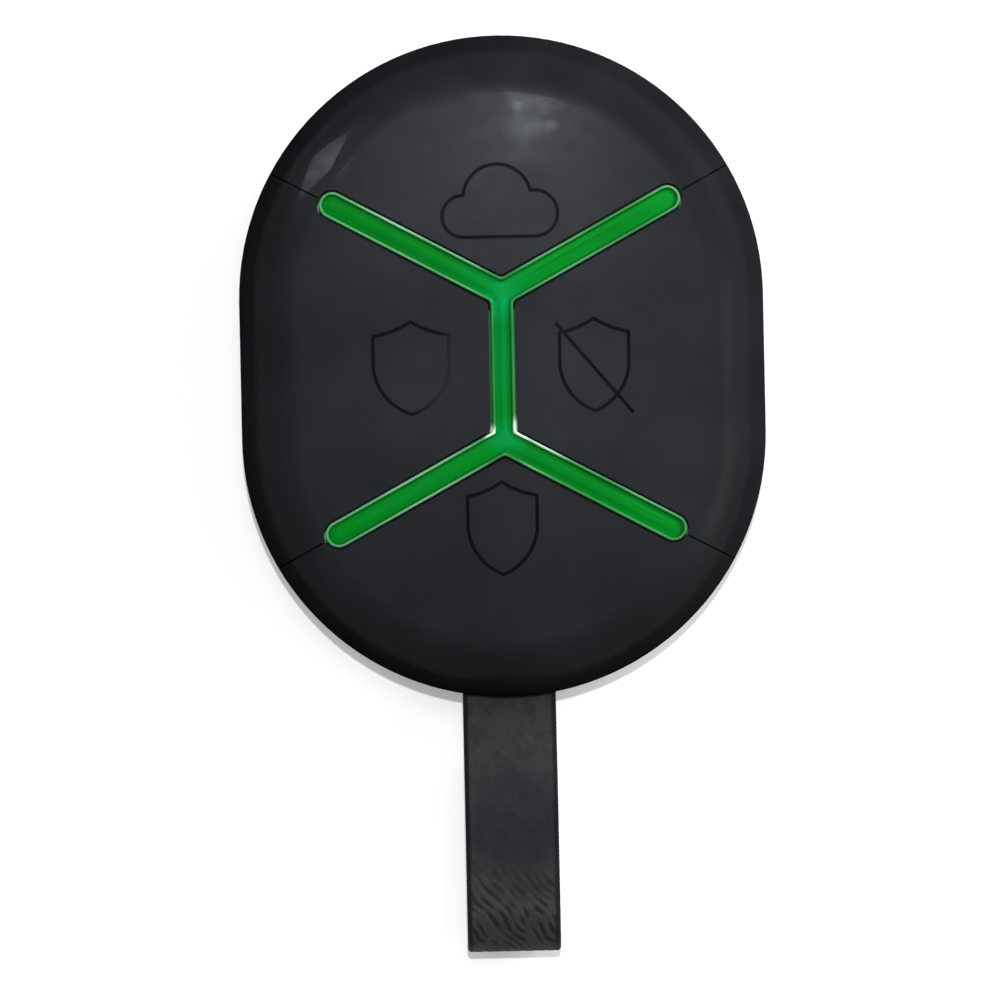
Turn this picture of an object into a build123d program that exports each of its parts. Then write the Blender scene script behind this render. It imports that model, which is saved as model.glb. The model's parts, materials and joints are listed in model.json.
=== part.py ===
from build123d import *
import os
from math import asin, cos, degrees, hypot, radians, sin, sqrt

# Alarm key fob that lies on its back: X is its width, +Y points to the cloud key, the strap
# leaves towards -Y, and +Z is up out of the face. The origin is the middle of the flat back.
# All lengths are in millimetres.

# Plan of the body: a stadium
body_width = 45.0
body_length = 56.8
end_radius = body_width / 2
end_offset = (body_length - body_width) / 2

# One overrun serves every cut, and the gaps name every clearance
overrun = 1.0
seat_gap = 0.05
running_gap = 0.05
side_gap = 0.35
guide_gap = 0.2
seam_gap = 0.12
skirt_gap = 0.3
frame_gap = 0.4
board_hole_gap = 0.2

# Walls of the two shells
key_wall = 1.2
rear_wall = 1.3
rear_corner_radius = 3.6

# Light guide: two Y junctions on the middle line, four arms and a centre bar
junction_step = 0.4
arm_tip_side_margin = 8.2
arm_tip_end_margin = 14.35
junction_reach = end_offset + junction_step
arm_tip_x = end_radius - arm_tip_side_margin
arm_tip_y = body_length / 2 - arm_tip_end_margin
guide_width = 1.9
arm_flare = 0.16
lip_width = 0.3
lip_height = 0.07
core_depth = 0.14
crest_width = 0.5
crest_depth = 0.04
junction_fillet = 0.5
flange_margin = 0.5
flange_height = 0.9
stalk_radius = 0.9
arm_length = hypot(arm_tip_x, arm_tip_y - junction_reach)
arm_cos = arm_tip_x / arm_length
arm_sin = (arm_tip_y - junction_reach) / arm_length

# Battery, a standard 2032 coin cell, with its clip and contact
cell_radius = 10.0
cell_height = 3.2
cell_cap_radius = 8.7
cell_cap_height = 0.25
cell_edge_radius = 0.4
clip_sheet = 0.25
clip_width = 6.0
clip_clearance = 0.9
clip_foot = 1.4
clip_window_radius = 1.6
contact_width = 4.0
contact_length = 6.0
contact_sheet = 0.15
contact_dimple_radius = 1.3

# Heights through the stack
clip_bottom = rear_wall + 2 * seat_gap
cell_bottom = clip_bottom + clip_sheet
cell_top = cell_bottom + cell_height
board_bottom = cell_top + clip_sheet
board_thickness = 0.8
board_top = board_bottom + board_thickness
board_margin = 3.3
board_radius = end_radius - board_margin
deck_lift = 0.5
deck_thickness = 0.8
deck_bottom = board_top + deck_lift
deck_top = deck_bottom + deck_thickness

# Tactile switches
switch_size = 4.2
switch_height = 1.3
switch_corner = 0.3
switch_window_gap = 0.4
plunger_radius = 1.0
plunger_proud = 0.3
plunger_bore_depth = 0.8
switch_top = board_top + switch_height
plunger_top = switch_top + plunger_proud
post_bottom = plunger_top + seat_gap
end_switch_margin = 14.25
side_switch_margin = 14.7
end_switch_reach = body_length / 2 - end_switch_margin
side_switch_reach = end_radius - side_switch_margin

# Key hinges: hooks under each cap snap over stub pins that stand between posts on the frame
hinge_lift = 0.85
end_hinge_margin = 6.3
side_hinge_margin = 5.5
hinge_height = deck_top + hinge_lift
end_hinge_reach = body_length / 2 - end_hinge_margin
side_hinge_reach = end_radius - side_hinge_margin
hook_spread = 4.0
hook_thickness = 1.6
hook_width = 2.0
hook_drop = 0.7
hook_entry = 0.8
hinge_pin_radius = 0.5
cheek_thickness = 1.0
cheek_width = 1.7
cheek_rise = 0.55
cheek_gap = 0.15

# Face: a shallow crown that rolls over into the side through one tangent corner arc
cap_rise = 3.95
crown_drop = 1.7
corner_roll = 5.0
body_thickness = hinge_height + cap_rise
crown_reach = end_radius - corner_roll
crown_radius = (crown_reach**2 + crown_drop**2) / (2 * crown_drop)
crown_slope = degrees(asin(crown_reach / crown_radius))
corner_radius = corner_roll / (1 - sin(radians(crown_slope)))
corner_reach = end_radius - corner_radius
corner_height = body_thickness - crown_drop - corner_radius * cos(radians(crown_slope))

# Where the caps' skirts meet the rear cover
rim_drop = 0.5
rear_rim = board_bottom - rim_drop
skirt_bottom = rear_rim + skirt_gap

# Posts under the caps, and the engraving in them
post_radius = 1.2
groove_width = 0.3
groove_depth = 0.15

# Frame
ring_wall = 1.3
ring_overlap = 1.2
ring_bottom = rear_rim - ring_overlap
boss_radius = 1.9
collar_radius = 2.6
rear_boss_rise = 1.9
boss_joint = rear_wall + rear_boss_rise

# Screws, from the back
screw_margin = 4.9
screw_angle = 30
screw_reach = board_radius - screw_margin
screw_x = screw_reach * cos(radians(screw_angle))
screw_y = end_offset + screw_reach * sin(radians(screw_angle))
screw_head_radius = 1.5
screw_head_height = 0.9
screw_sink = 0.2
screw_radius = 0.8
screw_drive_radius = 0.55
screw_drive_depth = 0.5
screw_end_cover = 0.5
rear_boss_radius = 2.2

# Board supports on the rear cover
pillar_margin = 4.7
pillar_x = board_radius - pillar_margin
pillar_radius = 1.2

# Strap and its pin
strap_width = 8.0
strap_thickness = 0.9
strap_pin_radius = 0.7
strap_pin_margin = 4.75
strap_drop = 21.95
strap_layer_gap = 0.3
strap_loop_height = 6.8
strap_throat = 1.4
strap_rise_run = 12.0
strap_fall_run = 8.0
strap_play = 0.2
strap_side_play = 0.25
anchor_length = 2.0
anchor_width = 2.2
foot_width = 1.2
foot_length = 1.4
notch_margin = 0.6

# Parts on the board
led_length = 1.6
led_width = 0.8
led_height = 0.55
led_lens_height = 0.25
chip_size = 5.0
chip_height = 0.85
chip_setback = 3.95
chip_edge = 0.12
crystal_length = 3.2
crystal_width = 2.5
crystal_height = 0.8
crystal_spacing = 5.6
passive_length = 1.0
passive_width = 0.5
passive_height = 0.5
passive_pitch = 1.5
passive_count = 5
passive_clearance = 1.0
antenna_width = 0.8
antenna_thickness = 0.1
antenna_margin = 1.0
antenna_angle = 200

# Symbols cut in the caps
cloud_width = 9.85
cloud_height = 6.2
shield_width = 5.9
shield_height = 7.9
wide_shield_width = 6.5
slash_length = 10.2
slash_tilt = -50
slash_drop = 0.28
part_arm_symbol_shift = -0.3
part_arm_symbol_rise = 0.35

# The four keys: where each one points, how far out its hinge and its switch are
half_turn = 180
quarter_turn = 90
key_headings = {"key_cloud": 90, "key_arm": 180, "key_disarm": 0, "key_part_arm": 270}
end_keys = ("key_cloud", "key_part_arm")


def hinge_reach(key):
    """How far the hinge line of a key is from the middle of the body."""
    return end_hinge_reach if key in end_keys else side_hinge_reach


def switch_reach(key):
    """How far the switch of a key is from the middle of the body."""
    return end_switch_reach if key in end_keys else side_switch_reach


def outward(key):
    """The unit vector in which a key points."""
    return Vector(1, 0, 0).rotate(Axis.Z, key_headings[key])


def hinge_section(key, along):
    """Plane square to a key's hinge line, with its x outward and its y up."""
    way = outward(key)
    across = way.cross(Vector(0, 0, 1))
    origin = way * hinge_reach(key) + across * along + Vector(0, 0, hinge_height)
    return Plane(origin=origin, x_dir=way, z_dir=across)


def face_height(radius):
    """Height of the face at a radius from the crown's middle line."""
    if radius <= crown_reach:
        return body_thickness - crown_radius + sqrt(crown_radius**2 - radius**2)
    return corner_height + sqrt(corner_radius**2 - (radius - corner_reach) ** 2)


def face_above(key, reach):
    """Height of the face straight out along a key at a reach from the body's middle."""
    return face_height(reach - end_offset if key in end_keys else reach)


def stadium_form(profile):
    """Carries a half profile, drawn in radius and height, round the stadium plan."""
    with BuildPart() as form:
        for side in (1, -1):
            end_plane = Plane(origin=(0, side * end_offset, 0), x_dir=(1, 0, 0), z_dir=(0, -1, 0))
            with BuildSketch(end_plane):
                add(profile)
            turn_axis = Axis((0, side * end_offset, 0), (0, 0, side))
            revolve(axis=turn_axis, revolution_arc=half_turn)
        with BuildSketch(Plane(origin=(0, end_offset, 0), x_dir=(1, 0, 0), z_dir=(0, -1, 0))):
            add(profile)
            mirror(about=Plane.YZ)
        extrude(amount=2 * end_offset)
    return form.part


def dome_form(inset):
    """Solid under the face, set in by inset all over, down to the plane of the back."""
    reach = end_radius - inset
    with BuildSketch() as profile:
        with BuildLine():
            Line((0, 0), (reach, 0))
            Line((reach, 0), (reach, corner_height))
            CenterArc(
                (corner_reach, corner_height), corner_radius - inset, 0, quarter_turn - crown_slope
            )
            crown = CenterArc(
                (0, body_thickness - crown_radius),
                crown_radius - inset,
                quarter_turn - crown_slope,
                crown_slope,
            )
            Line(crown @ 1, (0, 0))
        make_face()
    return stadium_form(profile.sketch)


def dish_form(inset, top):
    """Solid of the rear cover's outside, set in by inset and cut flat at top."""
    reach = end_radius - inset
    corner_centre = end_radius - rear_corner_radius
    with BuildSketch() as profile:
        with BuildLine():
            Line((0, inset), (corner_centre, inset))
            CenterArc(
                (corner_centre, rear_corner_radius),
                rear_corner_radius - inset,
                -quarter_turn,
                quarter_turn,
            )
            Line((reach, rear_corner_radius), (reach, top))
            Line((reach, top), (0, top))
            Line((0, top), (0, inset))
        make_face()
    return stadium_form(profile.sketch)


def guide_plan(half_width):
    """Plan of the light guide's five bars: the middle one's half width, and arms a little wider."""
    arm_width = 2 * (half_width + arm_flare)
    with BuildSketch() as plan:
        SlotCenterToCenter(2 * junction_reach, 2 * half_width, rotation=quarter_turn)
        for side_x in (1, -1):
            for side_y in (1, -1):
                middle_x = side_x * arm_tip_x / 2
                middle_y = side_y * (junction_reach + arm_tip_y) / 2
                turn = side_x * side_y * degrees(asin(arm_sin))
                with Locations((middle_x, middle_y)):
                    SlotCenterToCenter(arm_length, arm_width, rotation=turn)
        near_junction = plan.vertices().filter_by(
            lambda v: min(
                hypot(v.X, v.Y - junction_reach), hypot(v.X, v.Y + junction_reach)
            )
            < arm_width
        )
        fillet(near_junction, junction_fillet)
    return plan.sketch


def guide_prism(half_width, bottom):
    """The five bars from bottom up past the face."""
    plan = guide_plan(half_width)
    with BuildPart() as prism:
        with BuildSketch(Plane.XY.offset(bottom)):
            add(plan)
        extrude(amount=body_thickness + overrun - bottom)
    return prism.part


def sector_plan(key):
    """Plan of the part of the face that one key covers, out to well past the rim."""
    far_x = body_length * arm_cos
    far_y = junction_reach + body_length * arm_sin
    with BuildSketch() as plan:
        with BuildLine():
            if key in end_keys:
                Polyline(
                    (0, junction_reach),
                    (far_x, far_y),
                    (far_x, body_length),
                    (-far_x, body_length),
                    (-far_x, far_y),
                    close=True,
                )
            else:
                Polyline(
                    (0, junction_reach), (0, -junction_reach), (far_x, -far_y), (far_x, far_y), close=True
                )
        make_face()
        offset(amount=-seam_gap / 2, kind=Kind.INTERSECTION)
    turn = key_headings[key] - (quarter_turn if key in end_keys else 0)
    return plan.sketch.rotate(Axis.Z, turn)


def shield_plan(width, height):
    """Heater shield: a pointed top with hollow shoulders, short straight sides and a rounded foot."""
    shoulder_share = 0.15
    side_share = 0.36
    hollow_share = 0.06
    belly_share = 0.78
    half = width / 2
    peak = height / 2
    shoulder = peak - shoulder_share * height
    side_end = shoulder - side_share * height
    belly = (side_end - peak) / 2
    hollow = (peak + shoulder) / 2 - hollow_share * half
    with BuildSketch() as plan:
        with BuildLine():
            ThreePointArc((0, peak), (half / 2, hollow), (half, shoulder))
            Line((half, shoulder), (half, side_end))
            ThreePointArc((half, side_end), (belly_share * half, belly), (0, -peak))
            mirror(about=Plane.YZ)
        make_face()
    return plan.sketch


def cloud_plan(width, height):
    """Cloud with a flat foot: one large puff between two smaller ones."""
    left_share = 0.182
    right_share = 0.2
    crown_share = 0.47
    shift_share = 0.022
    left = left_share * width
    right = right_share * width
    crown = crown_share * height
    with BuildSketch() as plan:
        with Locations((left - width / 2, left - height / 2)):
            Circle(left)
        with Locations((width / 2 - right, right - height / 2)):
            Circle(right)
        with Locations((-shift_share * width, height / 2 - crown)):
            Circle(crown)
        with Locations(((left - right) / 2, (left - height) / 2)):
            Rectangle(width - left - right, left)
    return plan.sketch


def outline_of(plan):
    """The plan's outline, drawn as wide as a groove."""
    half = groove_width / 2
    with BuildSketch() as outer:
        add(plan)
        offset(amount=half)
    with BuildSketch() as inner:
        add(plan)
        offset(amount=-half)
    with BuildSketch() as stroke:
        add(outer.sketch)
        add(inner.sketch, mode=Mode.SUBTRACT)
    return stroke.sketch


def symbol_plan(key):
    """The symbol on a key, drawn about its own middle."""
    with BuildSketch() as plan:
        if key == "key_cloud":
            add(outline_of(cloud_plan(cloud_width, cloud_height)))
        elif key == "key_arm":
            add(outline_of(shield_plan(wide_shield_width, shield_height)))
        else:
            add(outline_of(shield_plan(shield_width, shield_height)))
        if key == "key_disarm":
            with Locations((0, -slash_drop)):
                SlotOverall(slash_length, groove_width, rotation=slash_tilt)
    return plan.sketch


def groove_tool(key):
    """What the engraving takes out of a cap, as deep as groove_depth under the face."""
    middle = outward(key) * switch_reach(key)
    if key == "key_part_arm":
        middle += Vector(part_arm_symbol_shift, part_arm_symbol_rise)
    symbol = symbol_plan(key)
    with BuildPart() as tool:
        with BuildSketch(Plane(origin=(middle.X, middle.Y, board_top))):
            add(symbol)
        extrude(amount=body_thickness + overrun - board_top)
        add(dome_form(groove_depth), mode=Mode.SUBTRACT)
    return tool.part


def make_key(key):
    """One key cap: its share of the face, the post over its switch and its two hinge hooks."""
    sector = sector_plan(key)
    post_place = outward(key) * switch_reach(key)
    post_top = face_above(key, switch_reach(key)) - key_wall / 2
    hook_rise = face_above(key, hinge_reach(key)) - key_wall / 2 - hinge_height
    with BuildPart() as cap:
        add(dome_form(0))
        add(dome_form(key_wall), mode=Mode.SUBTRACT)
        with BuildSketch(Plane(origin=(post_place.X, post_place.Y, post_bottom))):
            Circle(post_radius)
        extrude(amount=post_top - post_bottom)
        for along in (hook_spread, -hook_spread):
            with BuildSketch(hinge_section(key, along)):
                with Locations((0, hook_rise / 2)):
                    Rectangle(hook_width, hook_rise)
                Circle(hook_width / 2)
                with Locations((0, -hook_drop - hook_width / 2)):
                    Rectangle(2 * hook_width, hook_width, mode=Mode.SUBTRACT)
                Circle(hinge_pin_radius + running_gap, mode=Mode.SUBTRACT)
                with Locations((0, -hook_width / 2)):
                    Rectangle(hook_entry, hook_width, mode=Mode.SUBTRACT)
            extrude(amount=hook_thickness / 2, both=True)
        add(dome_form(0), mode=Mode.INTERSECT)
        with BuildSketch(Plane.XY.offset(skirt_bottom)):
            add(sector)
        extrude(amount=body_thickness + overrun - skirt_bottom, mode=Mode.INTERSECT)
        add(guide_prism(guide_width / 2 + guide_gap, deck_top - overrun), mode=Mode.SUBTRACT)
        add(groove_tool(key), mode=Mode.SUBTRACT)
    return cap.part


def stadium_plan(radius):
    """Stadium in plan that runs parallel to the body's edge."""
    with BuildSketch() as plan:
        SlotCenterToCenter(2 * end_offset, 2 * radius, rotation=quarter_turn)
    return plan.sketch


def screw_places():
    """The four screw positions."""
    return [(side_x * screw_x, side_y * screw_y) for side_x in (1, -1) for side_y in (1, -1)]


def led_places():
    """Half way along each arm of the light guide."""
    middle_x = arm_tip_x / 2
    middle_y = (junction_reach + arm_tip_y) / 2
    return [(side_x * middle_x, side_y * middle_y) for side_x in (1, -1) for side_y in (1, -1)]


def switch_places():
    """The four switch positions."""
    places = [outward(key) * switch_reach(key) for key in key_headings]
    return [(place.X, place.Y) for place in places]


def swing(start, rise):
    """Two equal tangent arcs, level at both ends, from start by rise, a pair of run and height."""
    run, height = rise
    radius = (run**2 + height**2) / (4 * abs(height))
    middle = (start[0] + run / 2, start[1] + height / 2)
    end = (start[0] + run, start[1] + height)
    bend = radius if (height > 0) == (run > 0) else -radius
    RadiusArc(start, middle, -bend)
    RadiusArc(middle, end, bend)


# Strap: one closed band round its pin, drawn in the side view with its x away from the body
strap_half = strap_thickness / 2
strap_pin_reach = body_length / 2 - strap_pin_margin
wrap_radius = strap_pin_radius + seat_gap + strap_half
strap_pin_height = rear_wall + seat_gap + wrap_radius + strap_half
layer_offset = (strap_thickness + strap_layer_gap) / 2
upper_layer = strap_pin_height + layer_offset
lower_layer = strap_pin_height - layer_offset
loop_radius = strap_loop_height / 2 - strap_half
loop_middle = strap_pin_margin + strap_drop - strap_half - loop_radius
loop_top = strap_loop_height - strap_half
throat_end = strap_pin_margin + seat_gap
strap_wrap_run = throat_end - strap_throat

with BuildSketch() as strap_line:
    with BuildLine():
        CenterArc((0, strap_pin_height), wrap_radius, quarter_turn, half_turn)
        wrap_drop = wrap_radius - layer_offset
        swing((0, strap_pin_height - wrap_radius), (strap_wrap_run, wrap_drop))
        Line((strap_wrap_run, lower_layer), (throat_end, lower_layer))
        swing((throat_end, lower_layer), (strap_fall_run, strap_half - lower_layer))
        Line((throat_end + strap_fall_run, strap_half), (loop_middle, strap_half))
        CenterArc((loop_middle, strap_half + loop_radius), loop_radius, -quarter_turn, half_turn)
        Line((loop_middle, loop_top), (throat_end + strap_rise_run, loop_top))
        swing((throat_end + strap_rise_run, loop_top), (-strap_rise_run, upper_layer - loop_top))
        Line((throat_end, upper_layer), (strap_wrap_run, upper_layer))
        swing((strap_wrap_run, upper_layer), (-strap_wrap_run, wrap_drop))
    make_face()
with BuildSketch() as strap_outer:
    add(strap_line.sketch)
    offset(amount=strap_half)
with BuildSketch() as strap_inner:
    add(strap_line.sketch)
    offset(amount=-strap_half)
strap_plane = Plane(origin=(0, -strap_pin_reach, 0), x_dir=(0, -1, 0), z_dir=(-1, 0, 0))
with BuildPart() as strap:
    with BuildSketch(strap_plane):
        add(strap_outer.sketch)
        add(strap_inner.sketch, mode=Mode.SUBTRACT)
    extrude(amount=strap_width / 2, both=True)

# Strap pin: a plain dowel with chamfered ends in the rear cover's two anchor blocks
strap_half_span = strap_width / 2 + strap_side_play
anchor_middle = strap_half_span + anchor_length / 2
strap_pin_length = 2 * (strap_half_span + anchor_length)
with BuildPart() as strap_pin:
    pin_plane = Plane(origin=(0, -strap_pin_reach, strap_pin_height), z_dir=(1, 0, 0))
    with BuildSketch(pin_plane):
        Circle(strap_pin_radius)
    extrude(amount=strap_pin_length / 2, both=True)
    chamfer(strap_pin.edges().filter_by(GeomType.CIRCLE), strap_pin_radius / 4)

# Rear cover: the dish, screw bosses, board pillars and the strap's anchor and slot
head_bottom = screw_sink
head_top = screw_sink + screw_head_height
slot_bottom = lower_layer - strap_half - strap_play
slot_top = upper_layer + strap_half + strap_play
with BuildPart() as rear_cover:
    add(dish_form(0, rear_rim))
    add(dish_form(rear_wall, rear_rim + overrun), mode=Mode.SUBTRACT)
    with BuildSketch(Plane.XY.offset(rear_wall / 2)):
        with Locations(*screw_places()):
            Circle(rear_boss_radius)
    extrude(amount=boss_joint - rear_wall / 2)
    with BuildSketch(Plane.XY.offset(rear_wall / 2)):
        with Locations(*[(x * pillar_x, y * end_offset) for x in (1, -1) for y in (1, -1)]):
            Circle(pillar_radius)
    extrude(amount=board_bottom - rear_wall / 2)
    with BuildSketch(Plane.XY.offset(rear_wall / 2)):
        with Locations((anchor_middle, -strap_pin_reach), (-anchor_middle, -strap_pin_reach)):
            Rectangle(anchor_length, anchor_width)
    extrude(amount=strap_pin_height + strap_pin_radius - rear_wall / 2)
    with BuildSketch(Plane(origin=(0, -strap_pin_reach, strap_pin_height), z_dir=(1, 0, 0), x_dir=(0, 1, 0))):
        Circle(strap_pin_radius + running_gap)
        with Locations((0, strap_pin_radius + overrun / 2)):
            Rectangle(2 * (strap_pin_radius + running_gap), 2 * strap_pin_radius + overrun)
    extrude(amount=strap_pin_length / 2 + overrun, both=True, mode=Mode.SUBTRACT)
    with BuildSketch(Plane.XY):
        with Locations(*screw_places()):
            Circle(screw_head_radius + running_gap)
    extrude(amount=head_top, mode=Mode.SUBTRACT)
    with BuildSketch(Plane.XY):
        with Locations(*screw_places()):
            Circle(screw_radius + running_gap)
    extrude(amount=boss_joint + overrun, mode=Mode.SUBTRACT)
    with BuildSketch(Plane(origin=(0, -body_length / 2 - overrun, 0), x_dir=(-1, 0, 0), z_dir=(0, 1, 0))):
        with Locations((0, (slot_bottom + slot_top) / 2)):
            RectangleRounded(2 * strap_half_span, slot_top - slot_bottom, strap_play)
    extrude(
        amount=body_length / 2 + overrun - strap_pin_reach - wrap_radius - strap_half,
        mode=Mode.SUBTRACT,
    )
    with BuildSketch(pin_plane):
        Circle(wrap_radius + strap_half + strap_play)
    extrude(amount=strap_half_span, both=True, mode=Mode.SUBTRACT)

# Frame: deck, ring, screw bosses, hinge cheeks with their stub pins, and feet on the strap pin
frame_inset = max(key_wall, rear_wall) + frame_gap
ring_outer = end_radius - frame_inset
ring_inner = ring_outer - ring_wall
cheek_offset = hook_thickness / 2 + cheek_gap + cheek_thickness / 2
screw_end = deck_top - screw_end_cover
notch_half = strap_half_span + anchor_length + notch_margin
notch_reach = strap_pin_reach - anchor_width / 2 - notch_margin
passage_half = strap_half_span + anchor_length + side_gap
passage_reach = strap_pin_reach + foot_width / 2 + seat_gap
with BuildPart() as key_frame:
    with BuildSketch(Plane.XY.offset(ring_bottom)):
        add(stadium_plan(ring_outer))
        add(stadium_plan(ring_inner), mode=Mode.SUBTRACT)
    extrude(amount=deck_top - ring_bottom)
    with BuildSketch(Plane.XY.offset(deck_bottom)):
        add(stadium_plan(ring_outer))
    extrude(amount=deck_thickness)
    for radius, bottom in ((boss_radius, boss_joint), (collar_radius, board_top)):
        with BuildSketch(Plane.XY.offset(bottom)):
            with Locations(*screw_places()):
                Circle(radius)
        extrude(amount=deck_top - bottom)
    with BuildSketch(Plane.XY.offset(strap_pin_height + strap_pin_radius + seat_gap)):
        with Locations((anchor_middle, -strap_pin_reach), (-anchor_middle, -strap_pin_reach)):
            Rectangle(foot_length, foot_width)
    extrude(amount=deck_top - strap_pin_height - strap_pin_radius - seat_gap)
    with BuildSketch(Plane.XY.offset(deck_bottom - overrun)):
        with Locations(*switch_places()):
            Rectangle(switch_size + 2 * switch_window_gap, switch_size + 2 * switch_window_gap)
        with Locations(*led_places()):
            Circle(stalk_radius + side_gap)
    extrude(amount=deck_thickness + 2 * overrun, mode=Mode.SUBTRACT)
    for key in key_headings:
        for along in (hook_spread, -hook_spread):
            for side in (1, -1):
                with BuildSketch(hinge_section(key, along + side * cheek_offset)):
                    with Locations((0, (cheek_rise - hinge_height + deck_bottom) / 2)):
                        Rectangle(cheek_width, cheek_rise + hinge_height - deck_bottom)
                extrude(amount=cheek_thickness / 2, both=True)
            with BuildSketch(hinge_section(key, along)):
                Circle(hinge_pin_radius)
            extrude(amount=cheek_offset, both=True)
    add(dome_form(frame_inset), mode=Mode.INTERSECT)
    with BuildSketch(Plane.XY):
        with Locations(*screw_places()):
            Circle(screw_radius + running_gap / 2)
    extrude(amount=screw_end + seat_gap, mode=Mode.SUBTRACT)
    with BuildSketch(Plane(origin=(0, -passage_reach, ring_bottom - overrun))):
        with Locations((0, (passage_reach - body_length / 2) / 2)):
            Rectangle(2 * passage_half, body_length / 2 - passage_reach)
    extrude(amount=slot_top + side_gap - ring_bottom + overrun, mode=Mode.SUBTRACT)

# Light guide: lips, core and crest follow the crown of the face
with BuildPart() as light_guide:
    add(guide_prism(guide_width / 2, deck_top))
    with BuildSketch(Plane.XY.offset(deck_top)):
        add(guide_plan(guide_width / 2 + flange_margin))
    extrude(amount=flange_height)
    add(dome_form(-lip_height), mode=Mode.INTERSECT)
    with BuildSketch(Plane.XY.offset(board_top + led_height + 2 * seat_gap)):
        with Locations(*led_places()):
            Circle(stalk_radius)
    extrude(amount=deck_top - board_top - led_height)
with BuildPart() as core_tool:
    add(guide_prism(guide_width / 2 - lip_width, deck_top))
    add(guide_prism(crest_width / 2, deck_top), mode=Mode.SUBTRACT)
    add(dome_form(core_depth), mode=Mode.SUBTRACT)
with BuildPart() as crest_tool:
    add(guide_prism(crest_width / 2, deck_top))
    add(dome_form(crest_depth), mode=Mode.SUBTRACT)
light_guide.part = light_guide.part - core_tool.part - crest_tool.part

# Circuit board with holes for the frame's bosses and a notch for the strap's anchor
with BuildPart() as circuit_board:
    with BuildSketch(Plane.XY.offset(board_bottom)):
        add(stadium_plan(board_radius))
        with Locations(*screw_places()):
            Circle(boss_radius + board_hole_gap, mode=Mode.SUBTRACT)
        with Locations((0, -notch_reach - overrun - board_radius / 2)):
            Rectangle(2 * notch_half, 2 * overrun + board_radius, mode=Mode.SUBTRACT)
    extrude(amount=board_thickness)


def make_switch_body(key):
    """A square switch housing with a blind bore for its plunger."""
    place = outward(key) * switch_reach(key)
    with BuildPart() as housing:
        with BuildSketch(Plane(origin=(place.X, place.Y, board_top))):
            RectangleRounded(switch_size, switch_size, switch_corner)
        extrude(amount=switch_height)
        with BuildSketch(Plane(origin=(place.X, place.Y, switch_top - plunger_bore_depth))):
            Circle(plunger_radius + running_gap)
        extrude(amount=plunger_bore_depth, mode=Mode.SUBTRACT)
    return housing.part


def make_plunger(key):
    """The round button of a switch, which stops short of its bore's floor by its travel."""
    place = outward(key) * switch_reach(key)
    plunger_bottom = switch_top - plunger_bore_depth + plunger_proud + seat_gap
    with BuildPart() as plunger:
        with BuildSketch(Plane(origin=(place.X, place.Y, plunger_bottom))):
            Circle(plunger_radius)
        extrude(amount=plunger_top - plunger_bottom)
        chamfer(plunger.edges().group_by(Axis.Z)[-1], seat_gap)
    return plunger.part


# Coin cell, its clip across the floor, and the spring contact under the board
with BuildPart() as coin_cell:
    with BuildSketch(Plane.XY.offset(cell_bottom)):
        Circle(cell_radius)
    extrude(amount=cell_height - cell_cap_height)
    fillet(coin_cell.edges().filter_by(GeomType.CIRCLE), cell_edge_radius)
    with BuildSketch(Plane.XY.offset(cell_top - 2 * cell_cap_height)):
        Circle(cell_cap_radius)
    extrude(amount=2 * cell_cap_height)

clip_reach = cell_radius + clip_clearance
with BuildPart() as battery_clip:
    with BuildSketch(Plane.XZ):
        with BuildLine():
            Polyline(
                (clip_reach + clip_sheet + clip_foot, board_bottom),
                (clip_reach, board_bottom),
                (clip_reach, clip_bottom + clip_sheet),
                (0, clip_bottom + clip_sheet),
                (0, clip_bottom),
                (clip_reach + clip_sheet, clip_bottom),
                (clip_reach + clip_sheet, board_bottom - clip_sheet),
                (clip_reach + clip_sheet + clip_foot, board_bottom - clip_sheet),
                close=True,
            )
        make_face()
        mirror(about=Plane.YZ)
    extrude(amount=clip_width / 2, both=True)
    with BuildSketch(Plane.XY.offset(clip_bottom)):
        with Locations((cell_radius / 2, 0), (-cell_radius / 2, 0)):
            Circle(clip_window_radius)
    extrude(amount=clip_sheet, mode=Mode.SUBTRACT)

with BuildPart() as battery_contact:
    with BuildSketch(Plane.XY.offset(board_bottom - contact_sheet)):
        RectangleRounded(contact_width, contact_length, contact_width / 4)
    extrude(amount=contact_sheet)
    with BuildSketch(Plane.XY.offset(cell_top)):
        Circle(contact_dimple_radius)
    extrude(amount=board_bottom - cell_top)

# Parts soldered to the board
board_end = end_offset + board_radius
chip_reach = (cell_radius + board_end - chip_setback) / 2
passive_row_reach = chip_reach + chip_size / 2 + passive_clearance
with BuildPart() as green_leds:
    with BuildSketch(Plane.XY.offset(board_top)):
        with Locations(*led_places()):
            Rectangle(led_length, led_width)
    extrude(amount=led_height - led_lens_height)
    with BuildSketch(Plane.XY.offset(board_top + led_height - led_lens_height)):
        with Locations(*led_places()):
            Rectangle(led_length / 2, led_width)
    extrude(amount=led_lens_height)

with BuildPart() as radio_chip:
    with BuildSketch(Plane(origin=(0, chip_reach, board_bottom - chip_height))):
        Rectangle(chip_size, chip_size)
    extrude(amount=chip_height)
    chamfer(radio_chip.faces().sort_by(Axis.Z)[0].edges(), chip_edge)

with BuildPart() as crystal:
    with BuildSketch(Plane(origin=(crystal_spacing, chip_reach, board_bottom - crystal_height))):
        RectangleRounded(crystal_width, crystal_length, chip_edge)
    extrude(amount=crystal_height)

with BuildPart() as chip_passives:
    with BuildSketch(Plane(origin=(0, passive_row_reach, board_bottom - passive_height))):
        with GridLocations(passive_pitch, passive_pitch, passive_count, 1):
            Rectangle(passive_width, passive_length)
    extrude(amount=passive_height)
    with BuildSketch(Plane(origin=(-crystal_spacing, chip_reach, board_bottom - passive_height))):
        with GridLocations(passive_pitch, passive_pitch, 1, passive_count - 2):
            Rectangle(passive_length, passive_width)
    extrude(amount=passive_height)

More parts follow.
